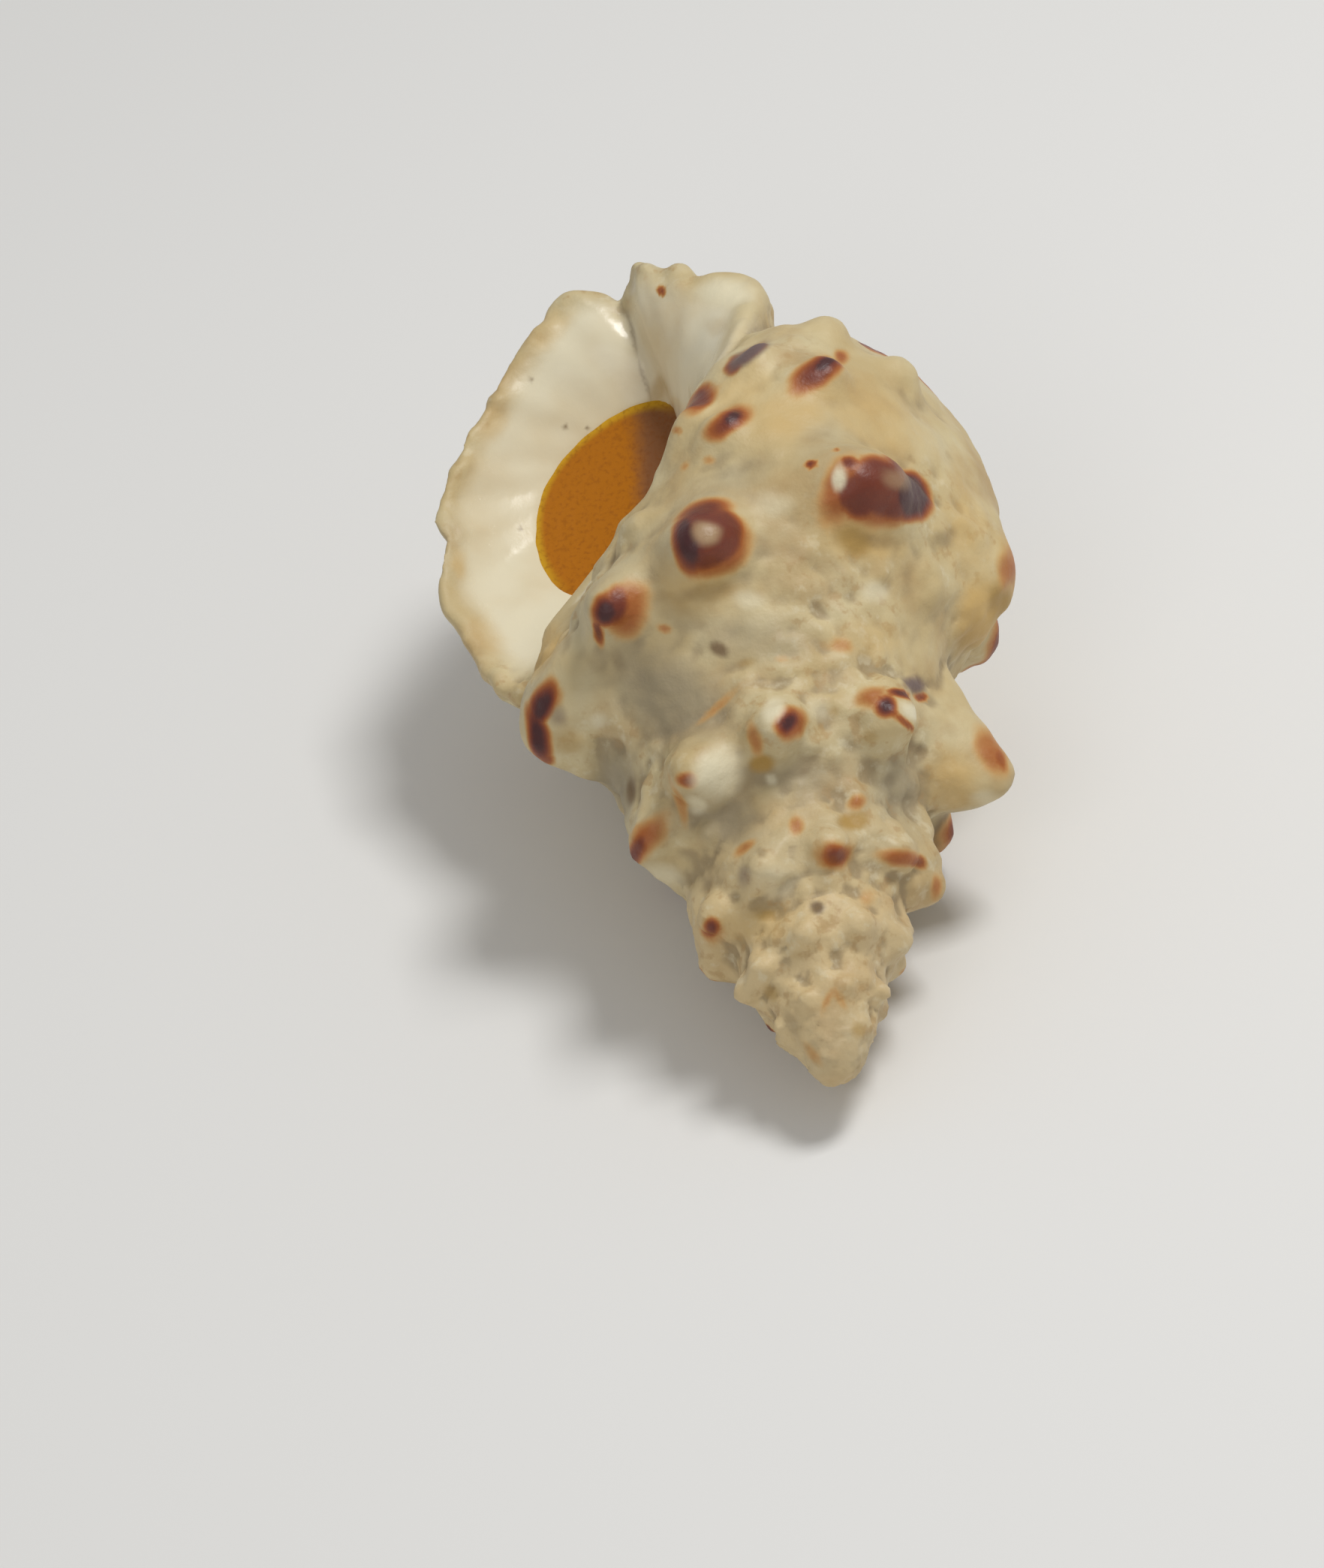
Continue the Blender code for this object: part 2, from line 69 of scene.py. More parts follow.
# The lip's free edge: radius, height, and how far it stands in front of the mouth's plane. Points 0
# to 11 are the outer lip, 12 the siphonal notch, 13 to 17 the fan, and 18 to 23 the inner callus.
LIP_EDGE = ((.715, -1.785, .05), (.79, -1.855, .03), (.84, -1.975, .02), (.885, -2.18, .02),
            (.93, -2.34, .03), (.90, -2.50, .02), (.865, -2.65, .02), (.79, -2.80, .02),
            (.69, -2.95, .01), (.56, -3.12, 0), (.42, -3.255, -.01), (.30, -3.28, -.03),
            (.205, -3.21, -.06), (.17, -3.24, -.02), (.125, -3.27, .06), (-.02, -3.169, .09),
            (-.17, -3.075, .12), (-.27, -2.94, .15), (-.11, -2.49, .37), (.065, -2.28, .34),
            (.20, -2.11, .315), (.365, -1.985, .277), (.50, -1.89, .20), (.58, -1.815, .10))
# Thickness of the lip behind its edge, in whorl units, at some of the edge's points
LIP_WALLS = {0: .10, 7: .10, 9: .15, 13: .17, 14: .21, 17: .25, 18: .24, 19: .24, 20: .22, 21: .17,
             22: .12, 24: .10}
# Teeth and notches of the free edge: how far it stands out, in whorl units, by place along it
EDGE_TEETH = {2.0: .004, 2.5: .006, 2.75: 0, 2.9: .014, 3.12: .022, 3.45: .012, 3.75: -.014, 4.05: -.032,
              4.35: -.040, 4.8: -.048, 4.93: -.032, 5.07: -.012, 5.35: .005, 5.7: 0, 6.0: -.009,
              6.22: -.020, 6.5: -.026, 6.9: -.017, 7.25: -.011, 7.55: -.022, 8.0: -.024, 8.3: -.030,
              8.6: -.016, 9.0: -.022, 9.5: -.026, 10.0: -.016, 10.6: .002, 11.0: .004, 11.5: .016,
              12.0: .006, 13.0: 0, 14.0: 0, 14.3: .014, 14.65: -.004, 15.0: .006, 15.3: -.010,
              15.55: -.028, 15.72: -.018, 16.0: 0, 17.0: 0}
# How deep the middle of the dish lies behind the mouth's plane, at some of the edge's points
DISH_DEPTHS = {0: -.06, 1: -.09, 2: -.10, 3: -.12, 8: -.10, 10: -.05, 11: -.05, 12: -.09, 13: -.05,
               14: .00, 15: .05, 16: .10, 17: .15, 18: .17, 19: .14, 20: .12, 21: .06, 22: .03,
               24: -.06}
# How much of the deep body section shows, by growth angle in degrees
BODY_SHARE = {-120: 0.0, -97: 0.6, -60: 1.0, -10: 0.9, 60: 0.35, 130: 0.2}
# How much wider the early whorls are than the spiral makes them, by growth angle in degrees
EARLY_WIDTH = {-1800: 1.18, -1080: 1.12, -540: 1.0}
# Varices: growth angle, height and half width in radians, two for each whorl
VARICES = ((0.05, .095, .30), (0.1 - math.pi, .10, .16), (-2 * math.pi, .13, .17),
           (0.1 - 3 * math.pi, .12, .17), (-4 * math.pi, .14, .20), (0.1 - 5 * math.pi, .10, .20),
           (-6 * math.pi, .10, .20))
# Radial folds of the dish: first and last point of the edge, count, and depth in whorl units
LIP_FOLDS = (1.0, 11.5, 10, 0.0035)
FAN_FOLDS = (13.0, 17.6, 5, 0.0022)
# How much of a fold's depth, and of a tooth, the four rings of the lip carry, from its back inwards
FOLD_SHARES = (0.2, 0.7, 1.0, 0.25)
TOOTH_SHARES = (0.8, 1.0, 0.3, 0.0)


class Tint(Enum):
    """The colours that a mark may have, in the order in which they are laid on."""
    ASH = "ash"
    WARM = "warm"
    SHADE = "shade"
    OCHRE = "ochre"
    RUST = "rust"
    CHESTNUT = "chestnut"
    PURPLE = "purple"
    GREY = "grey"
    # painted highlight on the crowns of the dark knobs
    PAINTED_HIGHLIGHT = "painted_highlight"
    PALE = "pale"


# How far burnt each of the brown tints is: all three are painted as one field, so that every dark
# mark has a rusty edge
BURNS = {Tint.RUST: 0.46, Tint.CHESTNUT: 0.76, Tint.PURPLE: 1.0}
# Over how many pixels the edge of each tint's marks fades, and the most as a share of a mark's size
EDGES = {Tint.ASH: 200, Tint.WARM: 200, Tint.SHADE: 36, Tint.OCHRE: 50, Tint.RUST: 30,
         Tint.CHESTNUT: 23, Tint.PURPLE: 25, Tint.GREY: 30, Tint.PAINTED_HIGHLIGHT: 24, Tint.PALE: 50}
WIDEST_EDGE = 1.5


@dataclass(frozen=True)
class Knob:
    """One knob: azimuth in degrees, height, half length and half width, and its slip off the row."""
    azimuth: float
    height: float
    length: float
    width: float
    slip: float = 0.0


@dataclass(frozen=True)
class KnobRow:
    """Knobs that share a whorl, a place on the section, its drift by azimuth, and a lean."""
    whorl: int
    place: float
    lean: float
    knobs: tuple[Knob, ...]
    drift: float = 0.0


@dataclass(frozen=True)
class Mark:
    """A mark where the photograph shows it: centre, half sizes in its pixels, and turn clockwise."""
    tint: Tint
    x: float
    y: float
    length: float
    width: float
    turn: float = 0.0
    strength: float = 1.0


def knobs(*values: tuple[float, ...]) -> tuple[Knob, ...]:
    """Make knobs from rows of their values."""
    return tuple(Knob(*value) for value in values)


def marks(tint: Tint, *values: tuple[float, ...]) -> tuple[Mark, ...]:
    """Make marks of one tint from rows of their values."""
    return tuple(Mark(tint, *value) for value in values)


def like_knobs(azimuths: tuple[float, ...], height: float, length: float, width: float) -> tuple[Knob, ...]:
    """Make knobs of one size at several azimuths."""
    return tuple(Knob(azimuth, height, length, width) for azimuth in azimuths)


KNOB_ROWS = (
    KnobRow(0, 4.1, 28, knobs((164, .17, .22, .25, -.42), (127, .15, .14, .13), (98, .19, .16, .15),
                              (3, .05, .20, .16), (-30, .13, .16, .15), (-70, .13, .16, .15),
                              (-110, .13, .16, .15), (-142, .05, .16, .15))),
    KnobRow(0, 4.5, 15, knobs((56, .17, .24, .16))),
    KnobRow(1, 3.45, 35, knobs((157, .25, .20, .20, -.12), (121, .32, .21, .21), (89, .29, .18, .18),
                               (45, .22, .21, .19), (-9, .33, .26, .26, .05))),
    KnobRow(1, 3.5, 32, knobs((-45, .30, .19, .18), (-85, .18, .19, .18), (-120, .18, .19, .18),
                              (-155, -.04, .19, .18))),
    KnobRow(2, 3.2, 40, knobs((150, .22, .19, .19), (108, .24, .19, .19), (73, .22, .19, .18),
                              (27, .16, .21, .16), (-14, .21, .21, .21, -.08))),
    KnobRow(2, 3.3, 38, like_knobs((-55, -90, -125), .16, .18, .17)),
    KnobRow(3, 3.3, 28, knobs((163, .32, .22, .22, -.1), (138, .24, .20, .18), (95, .18, .20, .18),
                              (55, .18, .20, .18), (10, .09, .20, .18), (-30, .14, .20, .18),
                              (-75, .12, .20, .18), (-120, .12, .20, .18),
                              (-168, .20, .22, .22))),
    KnobRow(4, 3.4, 28, knobs((160, .20, .20, .18), (110, .12, .20, .18), (65, .10, .20, .18),
                              (15, .14, .20, .18), (-40, .10, .20, .18), (-90, .10, .20, .18),
                              (-140, .10, .20, .18))),
    KnobRow(0, 7.2, -10, knobs((164, -.08, .19, .16))),
    KnobRow(0, 7.4, -20, like_knobs((120, 88, 58, 28), .08, .11, .09), drift=-.0125),
    KnobRow(0, 7.4, -20, like_knobs((-5,), .01, .11, .09), drift=-.0125),
    KnobRow(0, 7.4, -20, like_knobs((-35, -70, -105, -140), .08, .11, .09), drift=-.0125),
    KnobRow(0, 9.0, -45, like_knobs((98, 73, 46), .07, .10, .08), drift=-.018),
    KnobRow(0, 9.0, -45, like_knobs((18,), .01, .10, .08), drift=-.018),
    KnobRow(0, 9.0, -45, like_knobs((-10, -45, -80, -115), .07, .10, .08), drift=-.018),
)

# The marks that the photograph shows, in its pixels
MARKS = (
    # Broad greyish patches, partly the wall's own grey and partly painted shade on the lower body and on
    # the whorls behind the outline, and warm patches
    *marks(Tint.ASH, (890, 930, 100, 60, 35, .7), (1010, 850, 90, 36, 0, .5), (980, 640, 70, 30, -30, .4),
           (960, 1090, 70, 40, 30, .6), (1060, 1040, 60, 30, 0, .5), (1200, 1050, 40, 50, 0, .6),
           (820, 1050, 40, 60, 0, .8)),
    *marks(Tint.SHADE, (1090, 745, 60, 16, 15, .3)),
    *marks(Tint.WARM, (1170, 560, 90, 60, 30, .45), (1060, 540, 70, 44, -30, .55),
           (1140, 700, 70, 50, 10, .5), (930, 790, 60, 40, 0, .5), (735, 870, 60, 44, 30, .6),
           (1290, 700, 40, 110, 0, .5), (1310, 820, 40, 60, 0, .9), (1345, 750, 20, 60, 0, .7),
           (1150, 715, 60, 22, 15, .7), (1270, 1040, 40, 50, 0, .6), (985, 520, 60, 44, -40, .5),
           (1160, 850, 70, 30, 0, .4), (1000, 1230, 60, 30, 0, .5)),
    # Knob beside the mouth, with a ring
    *marks(Tint.RUST, (949, 722, 52, 50)),
    *marks(Tint.CHESTNUT, (945, 714, 47, 46)),
    *marks(Tint.PURPLE, (915, 718, 20, 42, -12), (938, 681, 34, 15, -12, .8)),
    # Painted highlight on the ring knob's crown
    *marks(Tint.PAINTED_HIGHLIGHT, (941, 709, 18, 15)),
    # Painted shade under the knob, olive and ochre
    *marks(Tint.SHADE, (940, 792, 42, 15, -5, .45)),
    *marks(Tint.OCHRE, (955, 790, 36, 18, -10, .4)),
    *marks(Tint.PALE, (1030, 672, 34, 20, 10, .45), (998, 800, 26, 15, 0, .5)),
    # Large knob on the right of the body
    *marks(Tint.RUST, (1120, 655, 26, 48, 20), (1172, 660, 72, 42), (1113, 599, 5, 4)),
    *marks(Tint.CHESTNUT, (1142, 662, 32, 32), (1186, 650, 66, 42), (1132, 619, 12, 9),
           (1079, 619, 7, 6)),
    *marks(Tint.PURPLE, (1220, 656, 33, 34), (1180, 676, 44, 14, 0, .7)),
    # Painted highlight on the large knob's crown
    *marks(Tint.PAINTED_HIGHLIGHT, (1196, 636, 24, 17, 0, .55)),
    *marks(Tint.PALE, (1117, 640, 9, 18, 10, .8), (1166, 789, 20, 17, 0, .6)),
    # Painted shade under the knob, ochre and olive
    *marks(Tint.OCHRE, (1136, 722, 26, 18, 40, .8)),
    *marks(Tint.SHADE, (1165, 720, 46, 12, 5, .45), (1256, 716, 18, 14, 0, .5)),
    # Small knobs between the large ones and the canal
    *marks(Tint.CHESTNUT, (1090, 493, 42, 19, -35), (971, 560, 31, 15, -32), (929, 534, 28, 13, -43),
           (978, 486, 12, 8, -41, .8)),
    *marks(Tint.PURPLE, (1096, 486, 28, 12, -35), (975, 556, 20, 10, -32), (932, 528, 14, 8, -43, .8),
           (1003, 463, 22, 8, -41, .6)),
    *marks(Tint.RUST, (1122, 478, 12, 10, -35), (955, 572, 16, 12, -32), (903, 573, 7, 5, 40, .7),
           (912, 619, 8, 6, -30, .6), (946, 610, 9, 6, -30, .6)),
    *marks(Tint.GREY, (1000, 466, 36, 13, -41, .9)),
    *marks(Tint.SHADE, (1090, 577, 36, 14, -25, .3), (985, 625, 70, 12, -8, .3)),
    # Right profile of the body
    *marks(Tint.RUST, (1346, 752, 15, 34, 5, .9)),
    *marks(Tint.CHESTNUT, (1352, 744, 9, 22, 5, .7)),
    *marks(Tint.OCHRE, (1332, 800, 16, 34, 5, .8), (1288, 856, 26, 30, 0, .5)),
    # Knob in the middle on the left
    *marks(Tint.RUST, (838, 812, 27, 40, 25)),
    *marks(Tint.CHESTNUT, (822, 808, 20, 26, 20)),
    *marks(Tint.PURPLE, (806, 815, 19, 19), (794, 842, 6, 18, -15, .8)),
    *marks(Tint.SHADE, (822, 880, 10, 22, -30, .4)),
    # Knob on the left edge, under the lip
    *marks(Tint.RUST, (733, 925, 14, 18, 20, .8)),
    *marks(Tint.PURPLE, (722, 938, 12, 32, 22), (716, 978, 13, 34, -12)),
    *marks(Tint.CHESTNUT, (727, 1008, 9, 12, 0, .8)),
    *marks(Tint.GREY, (741, 950, 12, 16, 0, .5)),
    *marks(Tint.OCHRE, (752, 985, 26, 18, 0, .5), (716, 884, 30, 16, -30, .5)),
    # Painted highlight on the knob
    *marks(Tint.PALE, (796, 961, 15, 14, 0, .6)),
    *marks(Tint.SHADE, (754, 856, 6, 16, 15, .4)),
    # Streaks and specks of the body
    *marks(Tint.RUST, (955, 941, 42, 6, -43, .55), (1120, 861, 18, 11, 10, .6),
           (1046, 873, 10, 6, 0, .45)),
    *marks(Tint.CHESTNUT, (885, 836, 9, 6, 10, .5)),
    *marks(Tint.SHADE, (954, 867, 13, 10, 40, .9), (844, 1052, 7, 18, 0, .9), (1104, 908, 8, 9, 0, .4)),
    *marks(Tint.OCHRE, (990, 883, 16, 7, -15, .5)),
    # Penultimate whorl
    *marks(Tint.RUST, (862, 1118, 16, 34, 32), (901, 1062, 7, 34, -14, .75), (1006, 984, 9, 24, -8, .75),
           (1160, 930, 22, 14, -20, .9), (1320, 1000, 32, 18, 62, .9)),
    *marks(Tint.CHESTNUT, (848, 1138, 11, 30, 28), (916, 1040, 13, 11, 0, .8),
           (1055, 963, 22, 19, -40, .8), (1229, 927, 8, 6, 0, .9), (1206, 962, 22, 5, 30, .8),
           (1331, 1010, 18, 8, 65, .7)),
    *marks(Tint.PURPLE, (840, 1142, 8, 20, 24, .8), (1052, 963, 17, 13, -35), (1180, 943, 14, 12),
           (1203, 925, 18, 7, 0, .9)),
    # Pale crowns of the knobs, partly their own colour and partly painted highlights
    *marks(Tint.PALE, (926, 1072, 15, 13, 0, .7), (955, 1030, 30, 40, 30, .85),
           (885, 1165, 24, 16, 30, .6), (1311, 1062, 22, 14, 0, .5), (1031, 945, 14, 20, 30, .8),
           (1026, 1044, 9, 9, 0, .6), (1090, 945, 16, 18, 0, .5), (1219, 948, 20, 10, 5, .9)),
    *marks(Tint.OCHRE, (1015, 1018, 17, 15, 0, 1.0), (1108, 947, 9, 8, 0, .5),
           (1158, 980, 14, 12, 0, .5)),
    *marks(Tint.SHADE, (1077, 1029, 11, 7, -30, .4), (1219, 996, 16, 10, 0, .5)),
    *marks(Tint.GREY, (1219, 911, 20, 12, 0, .8)),
    # Spire
    *marks(Tint.RUST, (1140, 1071, 12, 10, 0, .8), (1060, 1100, 10, 13, 20, .8),
           (992, 1132, 18, 6, -35, .7), (1113, 1137, 27, 19, 5, .8), (1203, 1141, 34, 10, 5),
           (1245, 1184, 8, 18, 0, .8), (1160, 1199, 14, 12, 0, .5), (950, 1244, 15, 15, 0, .6),
           (1103, 1334, 19, 6, -62, .55), (1121, 1334, 19, 6, 58, .55), (1082, 1400, 20, 8, 55, .5)),
    *marks(Tint.OCHRE, (1137, 1095, 20, 12, 0, .9), (1024, 1219, 16, 8, 0, .7),
           (1026, 1325, 16, 10, 40, .6), (1143, 1372, 11, 11, 0, .6), (1060, 1272, 14, 8, 0, .4)),
    *marks(Tint.SHADE, (1015, 1136, 8, 8, 0, .5), (1087, 1211, 10, 9, -20, 1.0),
           (1256, 1112, 18, 34, 20, 1.0), (1056, 1362, 12, 22, -30, .45)),
    *marks(Tint.CHESTNUT, (1114, 1136, 20, 14, 5, .9), (1222, 1149, 12, 9, 40, .8), (944, 1238, 11, 13),
           (1260, 1108, 12, 20, 20, .5)),
    *marks(Tint.PALE, (1040, 1172, 30, 26, 0, .5)),
    *marks(Tint.GREY, (994, 1168, 12, 16, 0, .5)),
    # Mouth and fan
    *marks(Tint.WARM, (660, 560, 34, 18, -60, .45), (735, 437, 44, 20, -40, .4),
           (812, 392, 36, 22, 10, .45), (648, 845, 36, 24, 40, .4), (612, 753, 12, 22, 0, .5),
           (885, 430, 50, 60, 0, .35)),
    *marks(Tint.OCHRE, (958, 432, 22, 14, 0, .35), (878, 520, 14, 30, 25, .5)),
    *marks(Tint.PALE, (968, 388, 40, 20, 5, .8)),
    *marks(Tint.SHADE, (842, 440, 40, 4, 78, .5), (858, 508, 34, 4, 70, .5), (751, 572, 4, 4, 0, .7),
           (779, 572, 4, 4, 0, .7), (692, 702, 4, 4, 0, .6), (707, 506, 4, 4, 0, .6)),
    *marks(Tint.CHESTNUT, (882, 384, 6, 5, 0, .9)),
)


def smooth_step(value: np.ndarray) -> np.ndarray:
    """Ease a value from 0 to 1 as 3 v squared less 2 v cubed, clamped."""
    value = np.clip(value, 0, 1)
    return value * value * (3 - 2 * value)


def ramp(value: np.ndarray, start: float, width: float) -> np.ndarray:
    """Ease from 0 at a start to 1 over a width."""
    return smooth_step((value - start) / width)


def lattice_noise(points: np.ndarray, size: float, seed: int) -> np.ndarray:
    """Smooth noise: random values on a lattice, eased between its eight nearest corners.

    Args:
        points: places in metres, one to a row.
        size: spacing of the lattice in metres.
        seed: seed of the lattice's values.

    Returns:
        One value from -1 to 1 for each point.
    """
    table = np.random.RandomState(seed).uniform(-1, 1, (LATTICE, LATTICE, LATTICE))
    place = points / size
    corner = np.floor(place).astype(int)
    share = smooth_step(place - corner)
    total = np.zeros(len(points))
    for step in np.ndindex(2, 2, 2):
        index = (corner + step) % LATTICE
        weight = np.prod(np.where(step, share, 1 - share), axis=1)
        total += weight * table[index[:, 0], index[:, 1], index[:, 2]]
    return total


@dataclass(frozen=True)
class Spiral:
    """The shell's logarithmic spiral and how it comes to rest on its back."""
    unit: float = 0.0163             # whorl unit where the growth angle is zero
    rate: float = 0.06               # growth of the whorl unit per radian
    turns: float = 5.9
    lip_azimuth: float = 190.0
    lip_bend: float = 13.0           # how far behind the mouth's plane the wall starts to flare
    rest_pitch: float = 108.5        # turn about X that lays the shell on its back
    shift: tuple[float, float, float] = (0.000934, -0.031926, 0.003076)

    @property
    def lip_angle(self) -> float:
        """Growth angle of the mouth's plane, in radians."""
        return math.radians(360 - self.lip_azimuth)

    @property
    def lip_start(self) -> float:
        """Growth angle at which the wall starts to flare, in radians."""
        return self.lip_angle - math.radians(self.lip_bend)

    def scale(self, angle: np.ndarray | float) -> np.ndarray | float:
        """Whorl unit in metres: the first unit times the exponential of rate times angle."""
        return self.unit * np.exp(self.rate * np.asarray(angle))

    def at_rest(self) -> Matrix:
        """Turn of the growing frame that lays it on its back, then its shift onto the floor."""
        return Matrix.Translation(self.shift) @ Matrix.Rotation(math.radians(self.rest_pitch), 4, "X")

    def from_mouth(self, points: np.ndarray) -> np.ndarray:
        """Carry radius, height and depth in the mouth's plane to the growing frame, in metres."""
        azimuth = math.radians(self.lip_azimuth)
        radial = np.array((math.cos(azimuth), math.sin(azimuth), 0))
        forward = np.array((math.sin(azimuth), -math.cos(azimuth), 0))
        upward = np.array((0, 0, 1.0))
        placed = points[..., :1] * radial + points[..., 2:] * forward + points[..., 1:2] * upward
        return self.scale(self.lip_angle) * placed


def closed_curve(steps: int) -> np.ndarray:
    """Weights that carry a section's points to a smooth closed curve: cubics through the points."""
    place = np.arange(steps) / steps * POINTS
    index = np.floor(place).astype(int)
    t = place - index
    weights = ((-t + 2 * t**2 - t**3) / 2, 1 - 2.5 * t**2 + 1.5 * t**3,
               (t + 4 * t**2 - 3 * t**3) / 2, (t**3 - t**2) / 2)
    basis = np.zeros((steps, POINTS))
    for offset, weight in enumerate(weights):
        basis[np.arange(steps), (index + offset - 1) % POINTS] += weight
    return basis


def open_curve(rings: np.ndarray, steps: tuple[int, ...]) -> np.ndarray:
    """Smooth rings through control rings, so many steps for each span, as cubics."""
    padded = np.concatenate((2 * rings[:1] - rings[1:2], rings, 2 * rings[-1:] - rings[-2:-1]))
    parts = []
    for span, count in enumerate(steps):
        t = (np.arange(count) / count)[:, None, None]
        a, b, c, d = padded[span:span + 4]
        parts.append(b + ((c - a) * t + (2 * a - 5 * b + 4 * c - d) * t**2
                          + (3 * b - a - 3 * c + d) * t**3) / 2)
    return np.concatenate(parts + [rings[-1:]])


def smooth_band(place: np.ndarray, start: float, full: float, ease: float, end: float) -> np.ndarray:
    """A weight along the section that rises from start to full and falls from ease to end."""
    return smooth_step(np.clip((place - start) / (full - start), 0, 1)
                       * np.clip((end - place) / (end - ease), 0, 1))


def at_points(values: dict[int, float]) -> np.ndarray:
    """Read a value at every point of the section from the few that are given."""
    return np.interp(np.arange(POINTS), list(values), list(values.values()))


def tube_mesh(name: str, grid: np.ndarray) -> bpy.types.Mesh:
    """Make a closed mesh of rings, with a fan of triangles at each end."""
    rows, columns = grid.shape[:2]
    row, column = np.meshgrid(np.arange(rows - 1) * columns, np.arange(columns), indexing="ij")
    after = (column + 1) % columns
    quads = np.stack((row + column, row + after, row + columns + after, row + columns + column), -1)
    first, last = rows * columns, rows * columns + 1
    edge = np.arange(columns)
    start = np.stack((np.full(columns, first), (edge + 1) % columns, edge), -1)
    end = np.stack((np.full(columns, last), last - 1 - columns + edge,
                    last - 1 - columns + (edge + 1) % columns), -1)
    points = np.concatenate((grid.reshape(-1, 3), grid[:1].mean(axis=1), grid[-1:].mean(axis=1)))
    mesh = bpy.data.meshes.new(name)
    mesh.from_pydata(points.tolist(), [], quads.reshape(-1, 4).tolist() + start.tolist() + end.tolist())
    return mesh


def read_rows(items: bpy.types.bpy_prop_collection, name: str, width: int) -> np.ndarray:
    """Read one property of each item, one item to a row."""
    values = np.empty(len(items) * width, np.float32)
    items.foreach_get(name, values)
    return values.reshape(-1, width).astype(float)


def read_points(mesh: bpy.types.Mesh) -> np.ndarray:
    """Places of a mesh's vertices, one to a row."""
    return read_rows(mesh.vertices, "co", 3)


def read_normals(mesh: bpy.types.Mesh) -> np.ndarray:
    """Directions of a mesh's vertices, one to a row."""
    return read_rows(mesh.vertex_normals, "vector", 3)


def write_points(mesh: bpy.types.Mesh, points: np.ndarray) -> None:
    """Put vertices where the rows of points say."""
    mesh.vertices.foreach_set("co", points.astype(np.float32).ravel())
    mesh.update()


def write_field(mesh: bpy.types.Mesh, name: str, values: np.ndarray) -> None:
    """Store one number for each vertex under a name."""
    field = mesh.attributes.get(name) or mesh.attributes.new(name, "FLOAT", "POINT")
    field.data.foreach_set("value", values.astype(np.float32))


def link_piece(name: str, mesh: bpy.types.Mesh) -> bpy.types.Object:
    """Put a mesh into the scene as an object at the origin."""
    piece = bpy.data.objects.new(name, mesh)
    bpy.context.collection.objects.link(piece)
    return piece


def apply_modifiers(piece: bpy.types.Object) -> None:
    """Replace a piece's mesh with what its modifiers make of it."""
    graph = bpy.context.evaluated_depsgraph_get()
    mesh = bpy.data.meshes.new_from_object(piece.evaluated_get(graph))
    piece.modifiers.clear()
    piece.data = mesh


def ease_over(mesh: bpy.types.Mesh, values: np.ndarray, rounds: int) -> np.ndarray:
    """Smooth columns of values over a mesh: half own value, half the neighbours' mean, repeated."""
    ends = np.empty(len(mesh.edges) * 2, np.int32)
    mesh.edges.foreach_get("vertices", ends)
    here = np.concatenate((ends[0::2], ends[1::2]))
    there = np.concatenate((ends[1::2], ends[0::2]))
    count = np.maximum(np.bincount(here, minlength=len(values)), 1)
    eased = values.copy()
    for _ in range(rounds):
        sums = [np.bincount(here, weights=column[there], minlength=len(values)) for column in eased.T]
        eased = 0.5 * eased + 0.5 * np.stack(sums, axis=-1) / count[:, None]
    return eased


def depth_below_neighbours(mesh: bpy.types.Mesh, rounds: int) -> np.ndarray:
    """How far each vertex lies under the smoothed surface, along its normal."""
    start = read_points(mesh)
    return np.einsum("ij,ij->i", ease_over(mesh, start, rounds) - start, read_normals(mesh))


